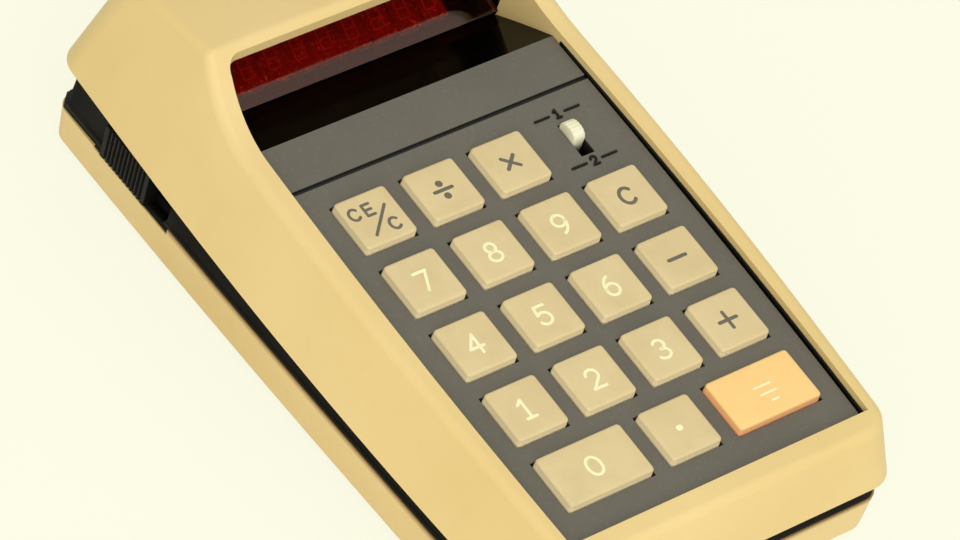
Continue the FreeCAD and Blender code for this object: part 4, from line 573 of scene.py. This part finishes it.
def tray_half(y):
    """Half width of the tray's rim: an arc about its widest place, and past it its tangents."""
    t = np.abs(y - BOW_CENTRE) / BOW_LENGTH
    return TRAY_HALF - BOW_DEPTH * np.where(t < 1, t * t, 2 * t - 1)


def tray_side(side, y, inset):
    """Points along one side of the tray's rim, at an inset: x is the half width less the inset."""
    return np.column_stack([side * (tray_half(y) - inset), y])


def rim_corners(inset):
    """The four corners of the tray's rim at an inset, against the clock from the front left: each
    an arc of the corner's radius less the inset, about a centre at the end of the straight side."""
    corner = TRAY_CORNER - inset
    reach = TRAY_END - TRAY_CORNER
    turn = np.linspace(0, math.pi / 2, CORNER_STEPS)
    corners = []
    for i, (sx, sy) in enumerate(((-1, -1), (1, -1), (1, 1), (-1, 1))):
        middle_x = sx * (tray_half(sy * reach) - inset - corner)
        angle = turn + math.pi + i * math.pi / 2
        corners.append(np.column_stack([middle_x + corner * np.cos(angle),
                                        sy * reach + corner * np.sin(angle)]))
    return corners


def front_and_right(inset):
    """From the power knob's room down the left side, round the front and up the right side to the
    gap at the back. Places on a side are evenly spread between its ends."""
    reach = TRAY_END - TRAY_CORNER
    share = np.linspace(0, 1, SIDE_STEPS)[1:-1]
    start = KNOB_ROOM[0]
    left = np.concatenate([[start], start + (-reach - start) * share])
    front_left, front_right, back_right, _ = rim_corners(inset)
    return np.concatenate([tray_side(-1, left, inset), front_left, front_right,
                           tray_side(1, reach * (2 * share - 1), inset), back_right,
                           [(BACK_GAP, TRAY_END - inset)]])


def rear_left(inset):
    """From the gap at the back round the back left corner to the power knob's room."""
    return np.concatenate([[(-BACK_GAP, TRAY_END - inset)], rim_corners(inset)[3],
                           tray_side(-1, np.array([KNOB_ROOM[1]]), inset)])


def neck(name, way):
    """The neck's profile carried along one way round the rim. A wall's top is the level of the
    shell's lower edge at that y, and a little more."""
    def stations(inset, level):
        path = way(inset)
        top = LIP_LEVEL + LIP_SLOPE * (path[:, 1] - LIP_PLACE) + NECK_RISE
        z = top if level is None else np.full(len(path), TRAY_TOP + level)
        return np.column_stack([path, z])

    points, faces = carried(NECK_PROFILE, stations)
    new_piece(name, points, faces, BLACK_ABS, "case", from_case)


neck("neck_front_and_right", front_and_right)
neck("neck_rear_left", rear_left)

# Below the power knob, in the notch of the tray's rim, the ledge runs on lower.
SLIDE_LEDGE = (55.0, 33.5)
SLIDE_STEPS = 12
SLIDE_PROFILE = [(0.35, 8.72), (2.4, 8.72), (2.4, 9.02), (0.35, 9.02)]


def slide_ledge():
    """A flat bar along the tray's left side: rows of an inset from the rim and a level."""
    y = np.linspace(*SLIDE_LEDGE, SLIDE_STEPS)
    points, faces = carried(SLIDE_PROFILE, lambda inset, level: np.column_stack(
        [tray_side(-1, y, inset), np.full(len(y), level)]))
    new_piece("slide_ledge", points, faces, BLACK_ABS, "case", from_case)


slide_ledge()

# Painted shade: a thin black strip in the gap between the panel and the shell's rim, standing
# against the shell's wall where the gap is dark.
OPENING_FRONT, OPENING_BACK = -39.1, 46.0
OPENING_MIDDLE, OPENING_REACH = 2.95, 42.05
OPENING_HALF, OPENING_BULGE, OPENING_DRIFT = 31.05, 0.75, 0.15
# Rows of an inset from the opening's edge and a level on the panel.
SHADE_STRIP_PROFILE = [(0.12, -0.95), (0.0, -0.95), (0.0, 0.45), (0.12, 0.45)]
SHADE_STRIP_STEPS = 40


def opening_half(v):
    """Half width of the shell's opening: a straight drift from front to back and a parabola."""
    t = (v - OPENING_MIDDLE) / OPENING_REACH
    return OPENING_HALF + OPENING_DRIFT * t + OPENING_BULGE * (1 - t * t)


def panel_lip():
    """A thin strip of painted shade inside the shell's opening, from the right side's back round the
    front to the left side's back: u is the opening's half width less the inset, on one side and the
    other."""
    def stations(inset, level):
        v = np.linspace(OPENING_BACK, OPENING_FRONT + inset, SHADE_STRIP_STEPS)
        side = opening_half(v) - inset
        x, y = np.concatenate([side, -side[::-1]]), np.concatenate([v, v[::-1]])
        return np.column_stack([x, y, np.full(len(x), level)])

    points, faces = carried(SHADE_STRIP_PROFILE, stations)
    new_piece("panel_lip", points, faces, BLACK_AND_GAP_SHADE, "case")


panel_lip()

# Display: nine figures of seven light-emitting bars behind the window.
WINDOW_SLOPE = math.radians(14.0)
WINDOW_FRONT = (59.2, -6.2)
FIGURE_COUNT = 9
FIGURE_PITCH = 5.4
FIGURE_SHIFT = -2.6
FIGURE_HALF = (1.05, 1.9)
FIGURE_PLACE = (7.2, -1.0)
FIGURE_SLANT = 0.12
BAR_WIDTH, BAR_RISE, BAR_GAP = 0.36, 0.05, 0.18


def from_window(points):
    """Points in the window's plane to the panel's frame: turned about X by the window's slope and
    moved to the window's front edge."""
    p = np.asarray(points, float)
    c, s = math.cos(WINDOW_SLOPE), math.sin(WINDOW_SLOPE)
    return np.stack([p[:, 0], WINDOW_FRONT[0] + p[:, 1] * c - p[:, 2] * s,
                     WINDOW_FRONT[1] + p[:, 1] * s + p[:, 2] * c], axis=1)


def digit_figures():
    """Seven flat bars for each figure, three across and four upright, each a short tube; x leans
    by a share of y, as such figures slant."""
    half_x, half_y = FIGURE_HALF
    bars = [line(BAR_GAP - half_x, y, half_x - BAR_GAP, y) for y in (-half_y, 0, half_y)]
    bars += [line(x, y + BAR_GAP, x, y + half_y - BAR_GAP)
             for x in (-half_x, half_x) for y in (-half_y, 0)]
    points, faces, count = [], [], 0
    for i in range(FIGURE_COUNT):
        centre = FIGURE_PITCH * (i - (FIGURE_COUNT - 1) / 2) + FIGURE_SHIFT
        for bar in bars:
            made, steps, sides = stroke_tube(bar, BAR_WIDTH, BAR_RISE, (0, 0), 0.0, steps=8, sides=8)
            made[:, 0] += made[:, 1] * FIGURE_SLANT + centre
            made[:, 1:] += FIGURE_PLACE
            faces += tube_faces(steps, sides, count)
            points.append(made)
            count += len(made)
    new_piece("digit_bars", from_window(np.concatenate(points)), faces, DIGIT_BARS, "case")


digit_figures()

# The clear-cast strip that joins the digit blocks just below their tops, seen from the right in
# the window's plane, and its two ends.
STRIP_OUTLINE = [(3.2, -1.35), (11.2, -1.35), (11.2, -1.15), (3.2, -1.15)]
STRIP_ENDS = (-26.5, 21.3)

points, faces = bar_across(STRIP_OUTLINE, *STRIP_ENDS)
new_piece("digit_strip", from_window(points), faces, DIGIT_RESIN, "case")

# Baffles: thin black plates that close the hood on both sides of the window, each an upright one
# on a level one. Each has its outline, seen from the right, and two distances from the middle.
BAFFLES = {
    "window_baffle": ([(62.3, -6.4), (74.0, -6.4), (74.0, 2.0), (72.5, 3.5), (66.0, 4.5),
                       (62.3, 4.5)], (29.0, 29.6)),
    "baffle_base": ([(59.25, -7.6), (74.0, -7.6), (74.0, -6.4), (59.25, -6.4)], (28.95, 31.9)),
}

for name, (outline, (near, far)) in BAFFLES.items():
    for side, ends in (("_left", (-far, -near)), ("_right", (near, far))):
        points, faces = bar_across(outline, *ends)
        new_piece(name + side, points, faces, BLACK_AND_GAP_SHADE, "case")

# Stage. Places and sizes here are metres.
LIT_PLACE = (0, 0, 0.02)
FILL_STRENGTH = 0.6
PAPER = "#FFFFEA"
PAPER_GLOW = 0.86
PAPER_HALF = 3


def lamp(name, place, size, power):
    """A square soft white light at a place, turned to the object's middle."""
    light = bpy.data.lights.new(name, "AREA")
    light.shape = "SQUARE"
    light.size = size
    light.energy = power
    holder = bpy.data.objects.new(name, light)
    bpy.context.scene.collection.objects.link(holder)
    way = Vector(LIT_PLACE) - Vector(place)
    holder.matrix_world = (Matrix.Translation(place)
                           @ way.to_track_quat("-Z", "Y").to_matrix().to_4x4())


def seen_directly(tree):
    """One where the camera, a mirror or clear plastic sees the surface, and zero for plain light."""
    path = add(tree, "ShaderNodeLightPath")
    first = add(tree, "ShaderNodeMath", None, {0: path.outputs["Is Camera Ray"],
                                               1: path.outputs["Is Glossy Ray"]},
                operation="MAXIMUM")
    both = add(tree, "ShaderNodeMath", None, {0: first.outputs[0],
                                              1: path.outputs["Is Transmission Ray"]},
               operation="MAXIMUM")
    return both.outputs[0]


world = bpy.data.worlds.new("studio")
bpy.context.scene.world = world
world.use_nodes = True
sky = world.node_tree
sky.nodes.clear()
pale = add(sky, "ShaderNodeBackground", {"Color": linear(PAPER), "Strength": 1.0})
fill = add(sky, "ShaderNodeBackground", {"Color": linear("#FFFDF6"), "Strength": FILL_STRENGTH})
choice = add(sky, "ShaderNodeMixShader", None,
             {0: seen_directly(sky), 1: fill.outputs[0], 2: pale.outputs[0]})
add(sky, "ShaderNodeOutputWorld", None, {"Surface": choice.outputs[0]})

# Floor: pale paper. Part of what the camera sees of it is its own brightness, so that it stays as
# pale as the sky, and the rest is lit and takes the object's soft shadow.
paper, tree, output, _ = new_material("pale_paper_floor")
matt = add(tree, "ShaderNodeBsdfDiffuse", {"Color": linear("#F4F2E2")})
glow = add(tree, "ShaderNodeEmission", {"Color": linear(PAPER), "Strength": 1.0})
share = add(tree, "ShaderNodeMath", {1: PAPER_GLOW}, {0: seen_directly(tree)},
            operation="MULTIPLY")
mixed = add(tree, "ShaderNodeMixShader", None,
            {0: share.outputs[0], 1: matt.outputs[0], 2: glow.outputs[0]})
tree.links.new(mixed.outputs[0], output.inputs["Surface"])
sheet = bpy.data.meshes.new("paper_floor")
sheet.from_pydata([(x * PAPER_HALF, y * PAPER_HALF, 0)
                   for x, y in ((-1, -1), (1, -1), (1, 1), (-1, 1))], [], [(0, 1, 2, 3)])
sheet.materials.append(paper)
floor = bpy.data.objects.new("paper_floor", sheet)
bpy.context.scene.collection.objects.link(floor)

lamp("soft_overhead", (0.1, -0.3, 1.0), 0.9, 2.5)
lamp("soft_front", (-0.42, -0.52, 0.38), 0.5, 2.2)

# Camera: where the photograph's perspective puts it, with its long lens.
view = bpy.data.cameras.new("camera")
view.lens = 230.17
view.sensor_width = 36.0
view.clip_start = 0.01
view.clip_end = 20.0
camera = bpy.data.objects.new("camera", view)
bpy.context.scene.collection.objects.link(camera)
right = Vector((0.77966, -0.58930, 0.21178))
down = Vector((-0.32821, -0.67259, -0.66325))
ahead = right.cross(down)
turn = Matrix((right, -down, -ahead)).transposed()
camera.matrix_world = Matrix.Translation((-0.53563, -0.45090, 0.73763)) @ turn.to_4x4()
bpy.context.scene.camera = camera

bpy.context.scene.view_settings.view_transform = "Standard"
